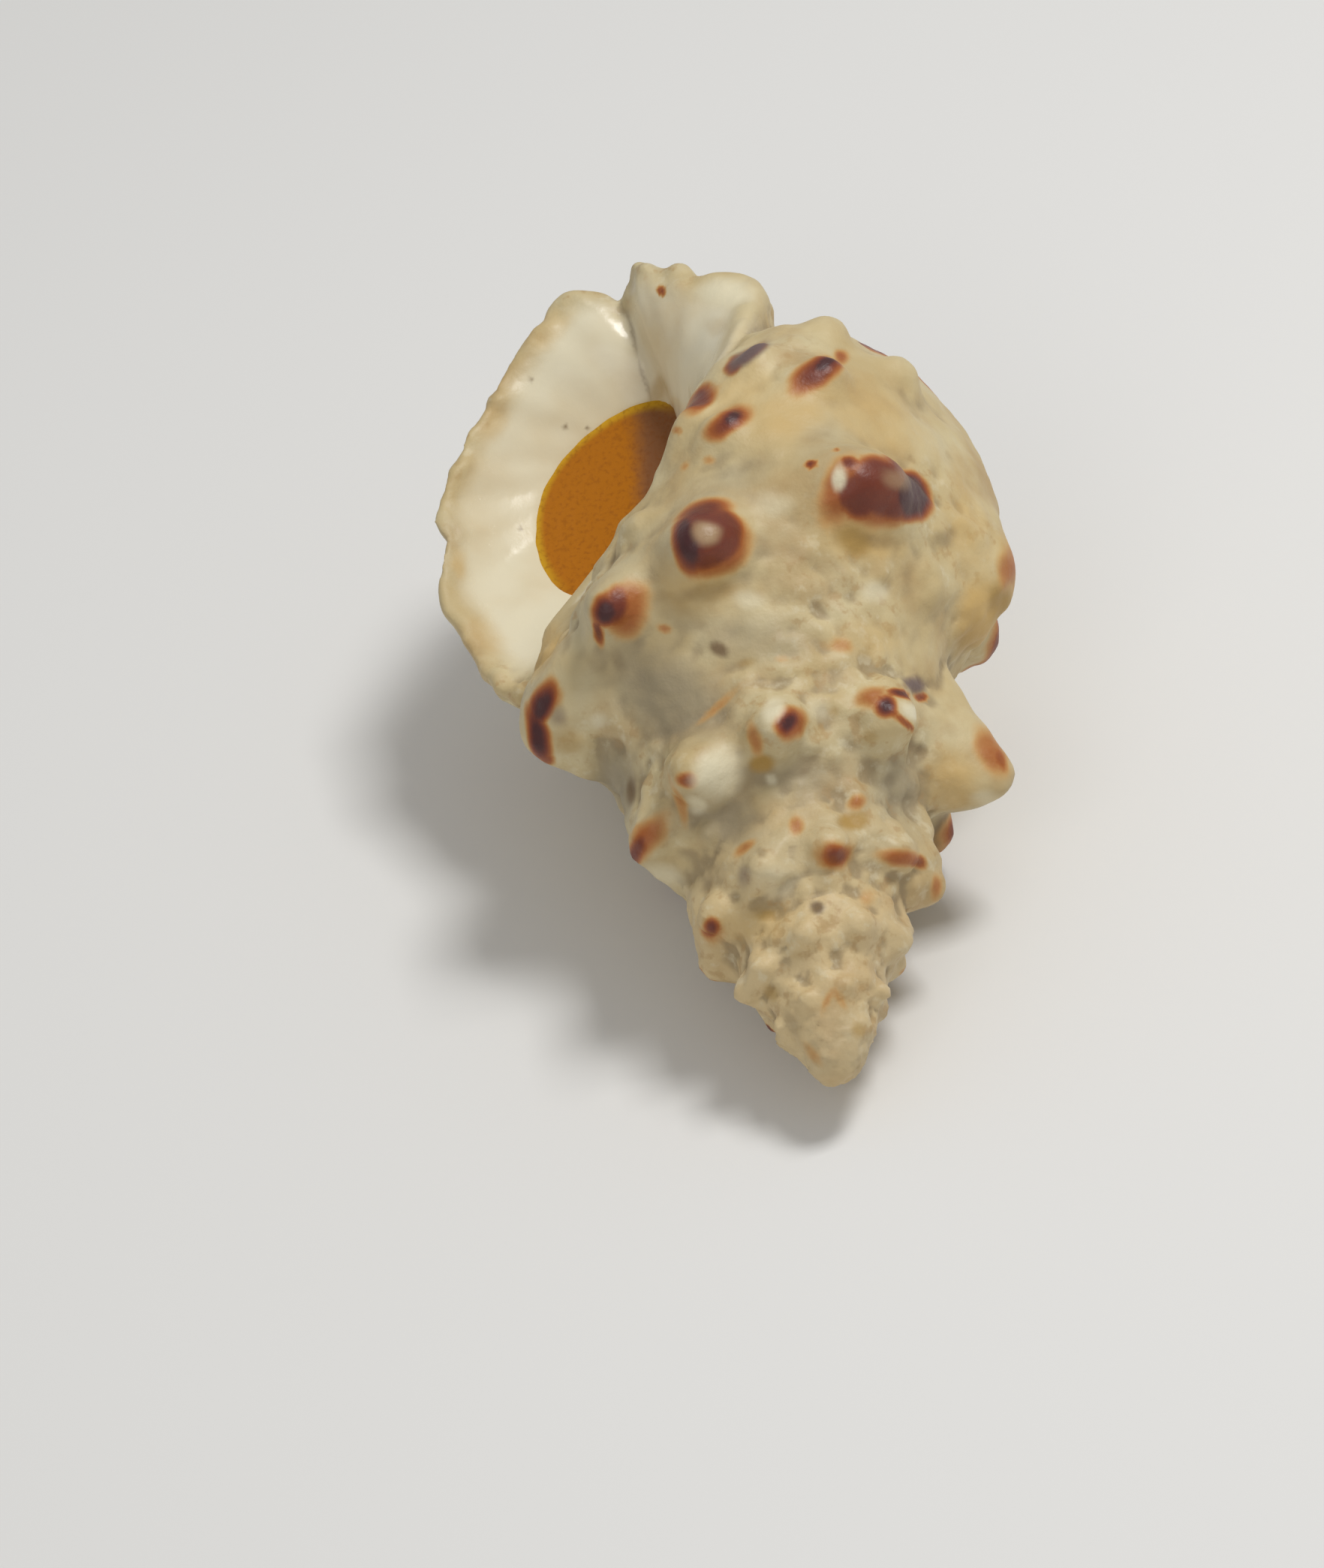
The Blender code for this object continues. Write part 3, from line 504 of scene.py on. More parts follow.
@dataclass(frozen=True)
class Viewpoint:
    """Where the photograph was taken from, fitted to the shell's outline."""
    tilt: float = 35.0               # of the shell's axis out of the picture's plane, in degrees
    roll: float = 11.0               # of the axis in the picture
    distance: float = 0.450
    aside: float = 0.0106            # of the shell's own origin from the line of sight, to the right
    above: float = -0.0191           # and upwards
    focal_pixels: float = 10610.0
    sensor: float = 36.0             # in millimetres
    nearest: float = 0.01            # what is nearer than this isn't rendered

    def place(self, spiral: Spiral) -> Matrix:
        """The camera's matrix in the row frame."""
        tilt, roll = math.radians(self.tilt), math.radians(self.roll)
        axis = np.array((math.sin(roll) * math.cos(tilt), -math.cos(roll) * math.cos(tilt), math.sin(tilt)))
        aside = np.array((math.cos(roll), math.sin(roll), 0))
        growing = np.stack((aside, np.cross(axis, aside), axis), axis=1)
        turn = np.array(spiral.at_rest().to_3x3()) @ growing.T
        origin = np.array(spiral.shift) - turn @ np.array((self.aside, self.above, -self.distance))
        matrix = np.eye(4)
        matrix[:3, :3] = turn
        matrix[:3, 3] = origin
        return Matrix(matrix.tolist())

    def build(self, spiral: Spiral) -> None:
        """Make the camera and set it as the scene's own."""
        lens = bpy.data.cameras.new("photo_camera")
        lens.sensor_width = self.sensor
        lens.lens = self.focal_pixels * self.sensor / PICTURE_SIZE[1]
        lens.clip_start = self.nearest
        camera = bpy.data.objects.new("photo_camera", lens)
        camera.matrix_world = self.place(spiral)
        bpy.context.collection.objects.link(camera)
        bpy.context.scene.camera = camera

    def pixels(self, spiral: Spiral, points: np.ndarray) -> tuple[np.ndarray, np.ndarray]:
        """Where points fall in the photograph.

        Args:
            spiral: the spiral that the view was fitted to.
            points: places in the row frame, one to a row.

        Returns:
            The points' pixels, one to a row, and their distances in front of the camera.
        """
        matrix = np.array(self.place(spiral))
        seen = (points - matrix[:3, 3]) @ matrix[:3, :3]
        flat = seen[:, :2] / -seen[:, 2:] * self.focal_pixels
        centre = np.array(PICTURE_SIZE) / 2
        return np.stack((centre[0] + flat[:, 0], centre[1] - flat[:, 1]), axis=-1), -seen[:, 2]

    def ray(self, spiral: Spiral, x: float, y: float) -> tuple[Vector, Vector]:
        """Start and direction of the line of sight through a pixel."""
        matrix = self.place(spiral)
        aim = Vector(((x - PICTURE_SIZE[0] / 2) / self.focal_pixels,
                      -(y - PICTURE_SIZE[1] / 2) / self.focal_pixels, -1))
        return matrix.translation, (matrix.to_3x3() @ aim).normalized()


@dataclass(frozen=True)
class ShellForm:
    """The grown wall, the lip, the dish and the chamber, as one grid of rings."""
    spiral: Spiral
    steps_turn: int = 150
    steps_round: int = 180
    steps_lip: tuple[int, ...] = (5, 18, 18)
    steps_chamber: int = 16
    steps_frame: int = 240           # of a section on which a foot of a knob or lump is looked up
    flare_start: float = 60.0        # growth angle in degrees at which the wall turns to the lip's back
    chamber_start: float = 6.0       # turn in degrees of the chamber's first ring
    chamber_depth: float = 95.0      # and of its last
    chamber_mouth: float = 25.0      # turn at which it starts to narrow
    chamber_narrowing: float = 0.5
    throat_long: float = 0.355
    throat_short: float = 0.225
    throat_lean: float = 16.0
    throat_taper: float = 0.10       # how much narrower the oval is towards the canal
    throat_bow: float = 0.10         # how far that end bends to the column
    throat_centre: tuple[float, float] = (0.375, -2.58)
    throat_sink: float = -0.20
    knob_depth: float = 0.25
    knob_drop: float = 0.3           # weight of the distance along a knob's axis in its reach
    knob_window: float = 1.0         # how far along the spiral a knob may reach, in radians
    varix_power: float = 2.2
    varix_hub: float = 0.45          # of the section's mean radius, away from which it swells
    varix_band: tuple[float, ...] = (1, 3, 6.5, 11.5)
    mouth_hollow: tuple[float, float, float] = (-2.25, 0.15, 0.80)
    mouth_band: tuple[float, ...] = (4.3, 6, 10, 12.5)
    base_hollow: tuple[float, float, float] = (-0.15, 0.038, 0.40)
    base_band: tuple[float, ...] = (5.4, 6.8, 8.4, 10.5)
    lip_glaze: tuple[float, float] = (-0.6, 1.5)  # the glaze's ease from the free edge to the dish
    glaze_azimuths: tuple[float, ...] = (85.0, 105.0, 150.0, 170.0)  # where the wall is glazed too
    glaze_places: tuple[float, ...] = (7.4, 8.6, 11.0, 12.5)
    callus_places: tuple[float, ...] = (17.2, 18.0, 22.8, 23.6)      # of the lip that is glazed behind
    lump_seed: int = 11
    lump_count: int = 420
    lump_sizes: tuple[float, float] = (0.05, 0.12)
    lump_heights: tuple[float, float] = (-0.03, 0.05)
    lump_span: tuple[float, float] = (-4.6 * 2 * math.pi, 2.4)
    lump_places: tuple[float, float] = (1.2, 10.5)
    lump_crowding: float = 1.3       # above 1, more of them lie near the mouth
    lump_leans: tuple[float, float, float] = (10, 9, 5)  # degrees at a place, fall per place, that place
    lump_window: float = 0.5

    def sections(self, angles: np.ndarray) -> np.ndarray:
        """The section's points at each growth angle: a mix of spire, body and lip, in whorl units."""
        spire, body, back = (np.array(outline) for outline in (SPIRE, BODY, LIP_BACK))
        degrees = np.degrees(angles)
        share = np.interp(degrees, list(BODY_SHARE), list(BODY_SHARE.values()))[:, None, None]
        start = math.radians(self.flare_start)
        flare = np.interp(angles, (start, self.spiral.lip_start), (0, 1))[:, None, None]
        grown = spire + (body - spire) * share
        grown[..., 0] *= np.interp(degrees, list(EARLY_WIDTH), list(EARLY_WIDTH.values()))[:, None]
        return grown + (back - grown) * flare

    def wall_frame(self, angle: float, place: float, lean: float) -> tuple[np.ndarray, ...]:
        """A point of the wall in metres with its outward, forward and crosswise directions."""
        steps = self.steps_frame
        scale = self.spiral.scale(angle)
        curve = closed_curve(steps) @ self.sections(np.array([angle]))[0] * scale
        radius, height = curve[int(place / POINTS * steps) % steps]
        radial = np.array((math.cos(-angle), math.sin(-angle), 0.0))
        forward = np.array((math.sin(-angle), -math.cos(-angle), 0.0))
        upward = np.array((0, 0, 1.0))
        outward = math.cos(math.radians(lean)) * radial + math.sin(math.radians(lean)) * upward
        return radius * radial + height * upward, outward, forward, np.cross(outward, forward)

    def knob_frames(self) -> list[tuple[KnobRow, Knob, float, tuple[np.ndarray, ...]]]:
        """Every knob with its row, its growth angle and its frame on the wall."""
        frames = []
        for row in KNOB_ROWS:
            for knob in row.knobs:
                angle = -math.radians(knob.azimuth) - 2 * math.pi * row.whorl
                place = row.place + row.drift * knob.azimuth + knob.slip
                frames.append((row, knob, angle, self.wall_frame(angle, place, row.lean)))
        return frames

    def raise_varices(self, points: np.ndarray, angles: np.ndarray) -> np.ndarray:
        """Swell the outer wall at each varix, as a bell along the spiral, and hollow it by the mouth."""
        place = np.arange(points.shape[1]) / points.shape[1] * POINTS
        swellings = [(*varix, smooth_band(place, *self.varix_band)) for varix in VARICES]
        for hollow, band in ((self.mouth_hollow, self.mouth_band), (self.base_hollow, self.base_band)):
            centre, depth, width = hollow
            swellings.append((centre, -depth, width, smooth_band(place, *band)))
        raised = points.copy()
        for centre, height, width, fade in swellings:
            scale = self.spiral.scale(centre)
            middle = self.sections(np.array([centre]))[0].mean(axis=0) * scale
            radius = self.varix_hub * middle[0]
            hub = np.stack((radius * np.cos(-angles), radius * np.sin(-angles),
                            np.full_like(angles, middle[1])), axis=-1)[:, None]
            away = points - hub
            away /= np.linalg.norm(away, axis=-1, keepdims=True)
            swell = height * scale * np.exp(-(np.abs(angles - centre) / width) ** self.varix_power)
            raised += (swell[:, None] * fade)[..., None] * away
        return raised

    def raise_knobs(self, points: np.ndarray, angles: np.ndarray) -> tuple[np.ndarray, np.ndarray]:
        """Push each knob out along its own axis, by a dome that falls as e to the minus reach cubed.

        Args:
            points: the wall.
            angles: growth angle of each ring.

        Returns:
            The wall with knobs, and how much of each point is knob.
        """
        raised = points.copy()
        crest = np.zeros(points.shape[:2])
        for _row, knob, angle, (foot, outward, forward, across) in self.knob_frames():
            scale = self.spiral.scale(angle)
            near = np.abs(angles - angle) < self.knob_window
            offset = points[near] - foot
            reach = np.sqrt((offset @ forward / (knob.length * scale)) ** 2
                            + (offset @ across / (knob.width * scale)) ** 2
                            + self.knob_drop * (offset @ outward / (self.knob_depth * scale)) ** 2)
            dome = np.exp(-reach**3)
            crest[near] = np.maximum(crest[near], dome)
            raised[near] += (knob.height * scale * dome)[..., None] * outward
        return raised, crest

    def raise_lumps(self, points: np.ndarray, angles: np.ndarray, crest: np.ndarray) -> np.ndarray:
        """Scatter small bells and pits over the outer wall, but not on the knobs."""
        random = np.random.RandomState(self.lump_seed)
        raised = points.copy()
        first, last = self.lump_span
        lean, fall, middle = self.lump_leans
        for _ in range(self.lump_count):
            angle = last - (last - first) * random.rand() ** self.lump_crowding
            place = random.uniform(*self.lump_places)
            size = random.uniform(*self.lump_sizes) * self.spiral.scale(angle)
            height = random.uniform(*self.lump_heights) * self.spiral.scale(angle)
            foot, outward, *_others = self.wall_frame(angle, place, lean - fall * (place - middle))
            near = np.abs(angles - angle) < self.lump_window
            reach = np.linalg.norm(points[near] - foot, axis=-1) / size
            lump = height * np.exp(-reach**2) * (1 - crest[near])
            raised[near] += lump[..., None] * outward
        return raised

    def wall_grid(self) -> tuple[np.ndarray, np.ndarray, np.ndarray]:
        """Rings of the outer wall from the tip to the back of the lip.

        Returns:
            The rings, how much of each point is knob, and each ring's growth angle.
        """
        spiral = self.spiral
        angles = np.linspace(spiral.lip_angle - spiral.turns * 2 * math.pi, spiral.lip_start,
                             int(spiral.turns * self.steps_turn))
        sections = np.einsum("mk,tkd->tmd", closed_curve(self.steps_round), self.sections(angles))
        scale = spiral.scale(angles)[:, None]
        radius, height = sections[..., 0] * scale, sections[..., 1] * scale
        turn = -angles[:, None]
        points = np.stack((radius * np.cos(turn), radius * np.sin(turn), height), axis=-1)
        knobbed, crest = self.raise_knobs(self.raise_varices(points, angles), angles)
        return self.raise_lumps(knobbed, angles, crest), crest, angles

    def throat_ring(self, shrink: float = 0.0) -> np.ndarray:
        """The throat's leaning oval as radius, height and depth in whorl units, less a margin."""
        turn = 2 * np.pi * (np.arange(POINTS) + 1) / POINTS
        lean = math.radians(self.throat_lean)
        along = (self.throat_long - shrink) * np.cos(turn)
        aside = (self.throat_short - shrink) * np.sin(turn) * (1 + self.throat_taper * np.cos(turn))
        aside -= self.throat_bow * np.minimum(np.cos(turn), 0) ** 2
        return np.stack((self.throat_centre[0] + along * math.sin(lean) + aside * math.cos(lean),
                         self.throat_centre[1] + along * math.cos(lean) - aside * math.sin(lean),
                         np.full(POINTS, self.throat_sink)), axis=-1)

    def lip_rings(self) -> np.ndarray:
        """Control rings of the lip: back of the edge, free edge, dish and throat."""
        edge = np.array(LIP_EDGE)
        back = edge.copy()
        back[:, 2] -= at_points(LIP_WALLS)
        throat = self.throat_ring()
        dish = 0.5 * (edge + throat)
        dish[:, 2] = at_points(DISH_DEPTHS)
        return np.stack((back, edge, dish, throat))

    def notch_rings(self, rings: np.ndarray) -> np.ndarray:
        """Move the lip's edge out and in at its teeth and notches, away from the throat's centre."""
        place = np.arange(rings.shape[1]) / rings.shape[1] * POINTS
        stand = np.interp(place, list(EDGE_TEETH), list(EDGE_TEETH.values()), right=0)
        stand[place < min(EDGE_TEETH)] = 0
        away = rings[1, :, :2] - self.throat_centre
        away /= np.linalg.norm(away, axis=-1, keepdims=True)
        notched = rings.copy()
        for ring, share in enumerate(TOOTH_SHARES):
            notched[ring, :, :2] += (share * stand)[:, None] * away
        return notched

    def fold_rings(self, rings: np.ndarray) -> np.ndarray:
        """Press radial folds, as cosines along the edge, into the rings of the lip."""
        place = np.arange(rings.shape[1]) / rings.shape[1] * POINTS
        folded = rings.copy()
        for first, last, count, depth in (LIP_FOLDS, FAN_FOLDS):
            along = np.clip((place - first) / (last - first), 0, 1)
            fade = np.sqrt(np.sin(np.pi * along))
            wave = depth * fade * np.cos(2 * np.pi * count * along)
            folded[..., 2] += np.outer(FOLD_SHARES, wave)
        return folded

    def chamber_rings(self, throat: np.ndarray) -> np.ndarray:
        """Rings of the chamber: the throat turned back round the axis while it narrows."""
        rings = []
        middle = throat.mean(axis=0)
        for degrees in np.linspace(self.chamber_start, self.chamber_depth, self.steps_chamber):
            inner = max(degrees - self.chamber_mouth, 0)
            share = inner / (self.chamber_depth - self.chamber_mouth)
            narrow = 1 - self.chamber_narrowing * share**2
            spin = np.array(Matrix.Rotation(math.radians(degrees), 3, "Z"))
            shrink = math.exp(-self.spiral.rate * math.radians(inner))
            rings.append((middle + (throat - middle) * narrow) @ spin.T * shrink)
        return np.array(rings)

    def grid(self) -> tuple[np.ndarray, np.ndarray]:
        """All rings from the tip round to the end of the chamber.

        Returns:
            The rings, and for each point four numbers: porcelain, knob, age from 0 at the tip to
            1 at the lip, and place along the section from 0 to 1.
        """
        wall, crest, angles = self.wall_grid()
        rings = np.einsum("mk,tkd->tmd", closed_curve(self.steps_round), self.lip_rings())
        controls = self.fold_rings(self.notch_rings(rings))
        lip = self.spiral.from_mouth(open_curve(controls, self.steps_lip))
        chamber = self.chamber_rings(lip[-1])
        rings = np.concatenate((wall, lip, chamber))
        back, side = self.steps_lip[:2]
        glaze = smooth_step(np.linspace(*self.lip_glaze, side))
        porcelain = np.concatenate((np.zeros(len(wall) + back), glaze,
                                    np.ones(len(lip) - back - side + len(chamber))))
        age = np.concatenate((np.linspace(0, 1, len(wall)), np.ones(len(lip) + len(chamber))))
        facts = np.zeros((*rings.shape[:2], 4))
        facts[..., 0] = porcelain[:, None]
        place = np.arange(rings.shape[1]) / rings.shape[1] * POINTS
        turned = smooth_band(-np.degrees(angles), *self.glaze_azimuths)
        facts[:len(wall), :, 0] = np.outer(turned, smooth_band(place, *self.glaze_places))
        callus = smooth_band(place, *self.callus_places)
        facts[len(wall):, :, 0] = np.maximum(facts[len(wall):, :, 0], callus)
        facts[:len(wall), :, 1] = crest
        facts[..., 2] = age[:, None]
        facts[..., 3] = np.arange(rings.shape[1]) / rings.shape[1]
        return rings, facts


class Wire:
    """A socket that takes part in sums and products, each of which adds a Math node."""

    def __init__(self, board: "Board", socket: bpy.types.NodeSocket) -> None:
        """Keep the socket and the board that its nodes go on."""
        self.board = board
        self.socket = socket

    def _math(self, operation: str, first: "Wire | float", second: "Wire | float") -> "Wire":
        """Add one Math node on two values."""
        return self.board.add("ShaderNodeMath", {"operation": operation}, {0: first, 1: second})

    def __add__(self, other: "Wire | float") -> "Wire":
        """Sum."""
        return self._math("ADD", self, other)

    def __radd__(self, other: float) -> "Wire":
        """Sum, from the right."""
        return self._math("ADD", other, self)

    def __sub__(self, other: "Wire | float") -> "Wire":
        """Difference."""
        return self._math("SUBTRACT", self, other)

    def __rsub__(self, other: float) -> "Wire":
        """Difference, from the right."""
        return self._math("SUBTRACT", other, self)

    def __mul__(self, other: "Wire | float") -> "Wire":
        """Product."""
        return self._math("MULTIPLY", self, other)

    def eased(self, low: float, high: float) -> "Wire":
        """Ease from 0 at low to 1 at high."""
        settings = {"interpolation_type": "SMOOTHSTEP"}
        return self.board.add("ShaderNodeMapRange", settings,
                              {"Value": self, "From Min": low, "From Max": high})


class Board:
    """A material's node tree."""

    def __init__(self, name: str) -> None:
        """Start a material with a Principled shader."""
        self.material = bpy.data.materials.new(name)
        self.material.use_nodes = True
        self.nodes = self.material.node_tree.nodes
        self.links = self.material.node_tree.links
        self.shader = self.nodes["Principled BSDF"]

    def add(self, kind: str, settings: dict | None = None, sockets: dict | None = None,
            output: int | str = 0) -> Wire:
        """Add a node.

        Args:
            kind: the node's type.
            settings: its settings, which are set first.
            sockets: values or wires of its inputs, by name or number.
            output: which output to return.

        Returns:
            The chosen output as a wire.
        """
        node = self.nodes.new(kind)
        for name, value in (settings or {}).items():
            setattr(node, name, value)
        for name, value in (sockets or {}).items():
            self.plug(node.inputs[name], value)
        return Wire(self, node.outputs[output])

    def plug(self, socket: bpy.types.NodeSocket, value: "Wire | float | tuple") -> None:
        """Give a socket a value or a wire."""
        if isinstance(value, Wire):
            self.links.new(value.socket, socket)
        else:
            socket.default_value = value

    def field(self, name: str) -> Wire:
        """Read a vertex field."""
        return self.add("ShaderNodeAttribute", {"attribute_name": name}, output="Fac")

    def place(self) -> Wire:
        """Object coordinates."""
        return self.add("ShaderNodeTexCoord", output="Object")

    def noise(self, place: Wire, size: float, detail: float = 3.0, roughness: float = 0.55) -> Wire:
        """Noise from 0 to 1 with features of about so many metres."""
        return self.add("ShaderNodeTexNoise", None,
                        {"Vector": place, "Scale": 1 / size, "Detail": detail, "Roughness": roughness})

    def mix(self, share: "Wire | float", first: "Wire | tuple", second: "Wire | tuple") -> Wire:
        """Mix two colours."""
        return self.add("ShaderNodeMix", {"data_type": "RGBA"},
                        {0: share, 6: first, 7: second}, output=2)

    def finish(self, **sockets: "Wire | float | tuple") -> bpy.types.Material:
        """Give the shader its values, with underscores for the spaces of their names."""
        for name, value in sockets.items():
            self.plug(self.shader.inputs[name.replace("_", " ")], value)
        return self.material


def paint(red: int, green: int, blue: int) -> tuple[float, float, float, float]:
    """A colour given as a screen shows it, from 0 to 255, as light."""
    values = []
    for level in (red, green, blue):
        share = level / 255
        values.append(share / 12.92 if share <= 0.04045 else ((share + 0.055) / 1.055) ** 2.4)
    return (*values, 1.0)


@dataclass(frozen=True)
class ShellFinish:
    """Chalky cream wall with painted shade in its hollows, glossy porcelain lip and the painted marks."""
    cream: tuple = paint(197, 175, 127)
    ivory: tuple = paint(212, 196, 153)
    sand: tuple = paint(212, 188, 142)
    stain: tuple = paint(176, 142, 92)
    # painted shade: the colour that the wall darkens to in its hollows
    hollow: tuple = paint(146, 126, 94)
    porcelain: tuple = paint(228, 219, 191)
    porcelain_warm: tuple = paint(217, 201, 165)
    broad_size: float = 0.006        # of the noise between cream and ivory, in metres
    drift_size: float = 0.012        # of the greyer patches
    stain_size: float = 0.0045
    speck_size: float = 0.0010       # in the crust
    cloud_size: float = 0.007        # in the porcelain
    fine_size: float = 0.0012        # of the fine noise that breaks up every edge
    grain_size: float = 0.0004       # of the finest bump
    bump_depth: float = 0.0003
    roughness: float = 0.52
    gloss: float = 0.29              # how much smoother the porcelain is
    burnt_gloss: float = 0.10        # and the brown marks
    level: float = 0.4               # of the specular reflection

    TINTS = {Tint.ASH: paint(156, 143, 116), Tint.WARM: paint(206, 172, 108),
             Tint.SHADE: paint(128, 106, 76), Tint.OCHRE: paint(176, 142, 78),
             # the second colour on the next line is a painted highlight on the dark knobs' crowns
             Tint.GREY: paint(112, 92, 88), Tint.PAINTED_HIGHLIGHT: paint(168, 138, 104),
             Tint.PALE: paint(226, 216, 184)}
    UNDER = (Tint.ASH, Tint.WARM, Tint.SHADE, Tint.OCHRE)   # laid on before the burnt tones
    OVER = (Tint.GREY, Tint.PAINTED_HIGHLIGHT, Tint.PALE)                # and after them
    # From where to where a mark's burn brings in each deeper tone
    BURN_TONES = ((.03, .30, paint(200, 158, 98)), (.14, .50, paint(168, 96, 42)),
                  (.38, .78, paint(118, 54, 34)), (.70, 1.0, paint(74, 38, 38)))

    def lay_on(self, board: Board, colour: Wire, tints: tuple[Tint, ...], fine: Wire) -> Wire:
        """Mix tints into a colour, each by its own field with a grainy edge."""
        for tint in tints:
            cover = board.field(tint.value) + (fine - .5) * .25
            colour = board.mix(cover.eased(.08, .92), colour, self.TINTS[tint])
        return colour

    def build(self) -> bpy.types.Material:
        """Make the material."""
        board = Board("shell_wall")
        place = board.place()
        porcelain = board.field("porcelain")
        cavity = board.field("cavity")
        age = board.field("age")
        broad = board.noise(place, self.broad_size)
        drift = board.noise(place, self.drift_size, 4.0)
        fine = board.noise(place, self.fine_size, 4.0)
        colour = board.mix(broad.eased(.35, .65), self.cream, self.ivory)
        colour = board.mix((1 - age).eased(.28, .6) * .8, colour, self.sand)
        colour = board.mix(drift.eased(.45, .75) * .5, colour, self.TINTS[Tint.ASH])
        stains = board.noise(place, self.stain_size, 5.0).eased(.46, .78) * (1 - porcelain) * .6
        colour = board.mix(stains, colour, self.stain)
        # Painted shade: the chalk darkens towards the hollow colour where it lies below its neighbours
        colour = board.mix((cavity + (fine - .5) * .3).eased(.05, 1.0) * .7, colour, self.hollow)
        specks = board.noise(place, self.speck_size, 3.0)
        crust = board.field("crust")
        colour = board.mix(specks.eased(.54, .68) * crust * .55, colour, self.stain)
        colour = board.mix((1 - specks).eased(.54, .72) * crust * .4, colour, self.TINTS[Tint.PALE])
        cloud = board.noise(place, self.cloud_size).eased(.4, .75) * .8
        glaze = board.mix(cloud, self.porcelain, self.porcelain_warm)
        colour = board.mix(porcelain, colour, glaze)
        colour = self.lay_on(board, colour, self.UNDER, fine)
        burn = board.field("burn") + (fine - .5) * .2
        for low, high, tone in self.BURN_TONES:
            colour = board.mix(burn.eased(low, high), colour, tone)
        colour = self.lay_on(board, colour, self.OVER, fine)
        rough = (self.roughness - porcelain * self.gloss - burn * self.burnt_gloss
                 + (fine - .5) * .16 + cavity * .1)
        grain = board.noise(place, self.grain_size, 3.0) * .35 + fine
        bump = board.add("ShaderNodeBump", None,
                         {"Strength": (1 - porcelain) * .25 + .06, "Distance": self.bump_depth,
                          "Height": grain})
        return board.finish(Base_Color=colour, Roughness=rough, Normal=bump,
                            Specular_IOR_Level=self.level)


@dataclass(frozen=True)
class HornFinish:
    """Brown horn with growth rings and a golden rim."""
    body: tuple = paint(172, 104, 14)
    deep: tuple = paint(134, 88, 54)
    rim: tuple = paint(196, 148, 30)
    speck: tuple = paint(128, 70, 16)
    fine_size: float = 0.0006
    speck_size: float = 0.0003
    ring_turns: float = 44.0         # of the growth rings' wave, in radians from middle to rim
    bump_depth: float = 0.0001
    roughness: float = 0.7
    level: float = 0.15

    def build(self) -> bpy.types.Material:
        """Make the material."""
        board = Board("horn_plate")
        place = board.place()
        rim = board.field("rim")
        dusk = board.field("dusk")
        rings = board.field("rings")
        fine = board.noise(place, self.fine_size, 4.0)
        colour = board.mix((dusk + (fine - .5) * .4).eased(.2, .8), self.body, self.deep)
        colour = board.mix(rim.eased(.1, .9), colour, self.rim)
        specks = board.noise(place, self.speck_size, 2.0).eased(.45, .75) * .4
        colour = board.mix(specks, colour, self.speck)
        waves = board.add("ShaderNodeMath", {"operation": "SINE"}, {0: rings * self.ring_turns + fine * 3})
        bump = board.add("ShaderNodeBump", None,
                         {"Strength": .3, "Distance": self.bump_depth, "Height": waves * .12 + fine})
        return board.finish(Base_Color=colour, Roughness=self.roughness + (fine - .5) * .2,
                            Normal=bump, Specular_IOR_Level=self.level)


@dataclass(frozen=True)
class FloorFinish:
    """Plain pale paper."""
    colour: tuple = paint(232, 231, 228)

    def build(self) -> bpy.types.Material:
        """Make the material."""
        return Board("pale_floor").finish(Base_Color=self.colour, Roughness=.8)


@dataclass(frozen=True)
class SpotRule:
    """How the knobs on the unseen side are spotted, each with its own random draw."""
    seed: int = 5
    sideways: tuple[float, float] = (-0.3, 0.3)   # off the crown, in lengths of the knob
    stretch: tuple[float, float] = (0.05, 0.6)    # how drawn out a spot is along the spiral
    large: tuple[float, float] = (0.65, 1.15)
    plain: float = 0.35              # share of the spots that have no purple middle
    crown: float = 0.8               # of the knob's height, where the spot is centred
    longest: float = 0.17            # length of a knob above which its spot grows no more
    low_row: float = 6.0             # place on the section past which the rows are of beads
    knob_share: float = 0.75
    bead_share: float = 0.9
    knobs_seen: float = -25.0        # azimuth in degrees from which the photograph shows the knobs
    beads_seen: float = 20.0
    wander_size: float = 0.0012
    wander: float = 0.0004
    wander_seeds: tuple[int, int, int] = (31, 32, 33)
    softness: float = 0.6

    # Tint, share of the spot's size, and strength
    LAYERS = ((Tint.RUST, 1.0, .9), (Tint.CHESTNUT, .78, .95), (Tint.PURPLE, .55, .9))

    def is_unseen(self, row: KnobRow, knob: Knob) -> bool:
        """Whether the photograph doesn't show this knob's crown."""
        return knob.azimuth < (self.beads_seen if row.place > self.low_row else self.knobs_seen)


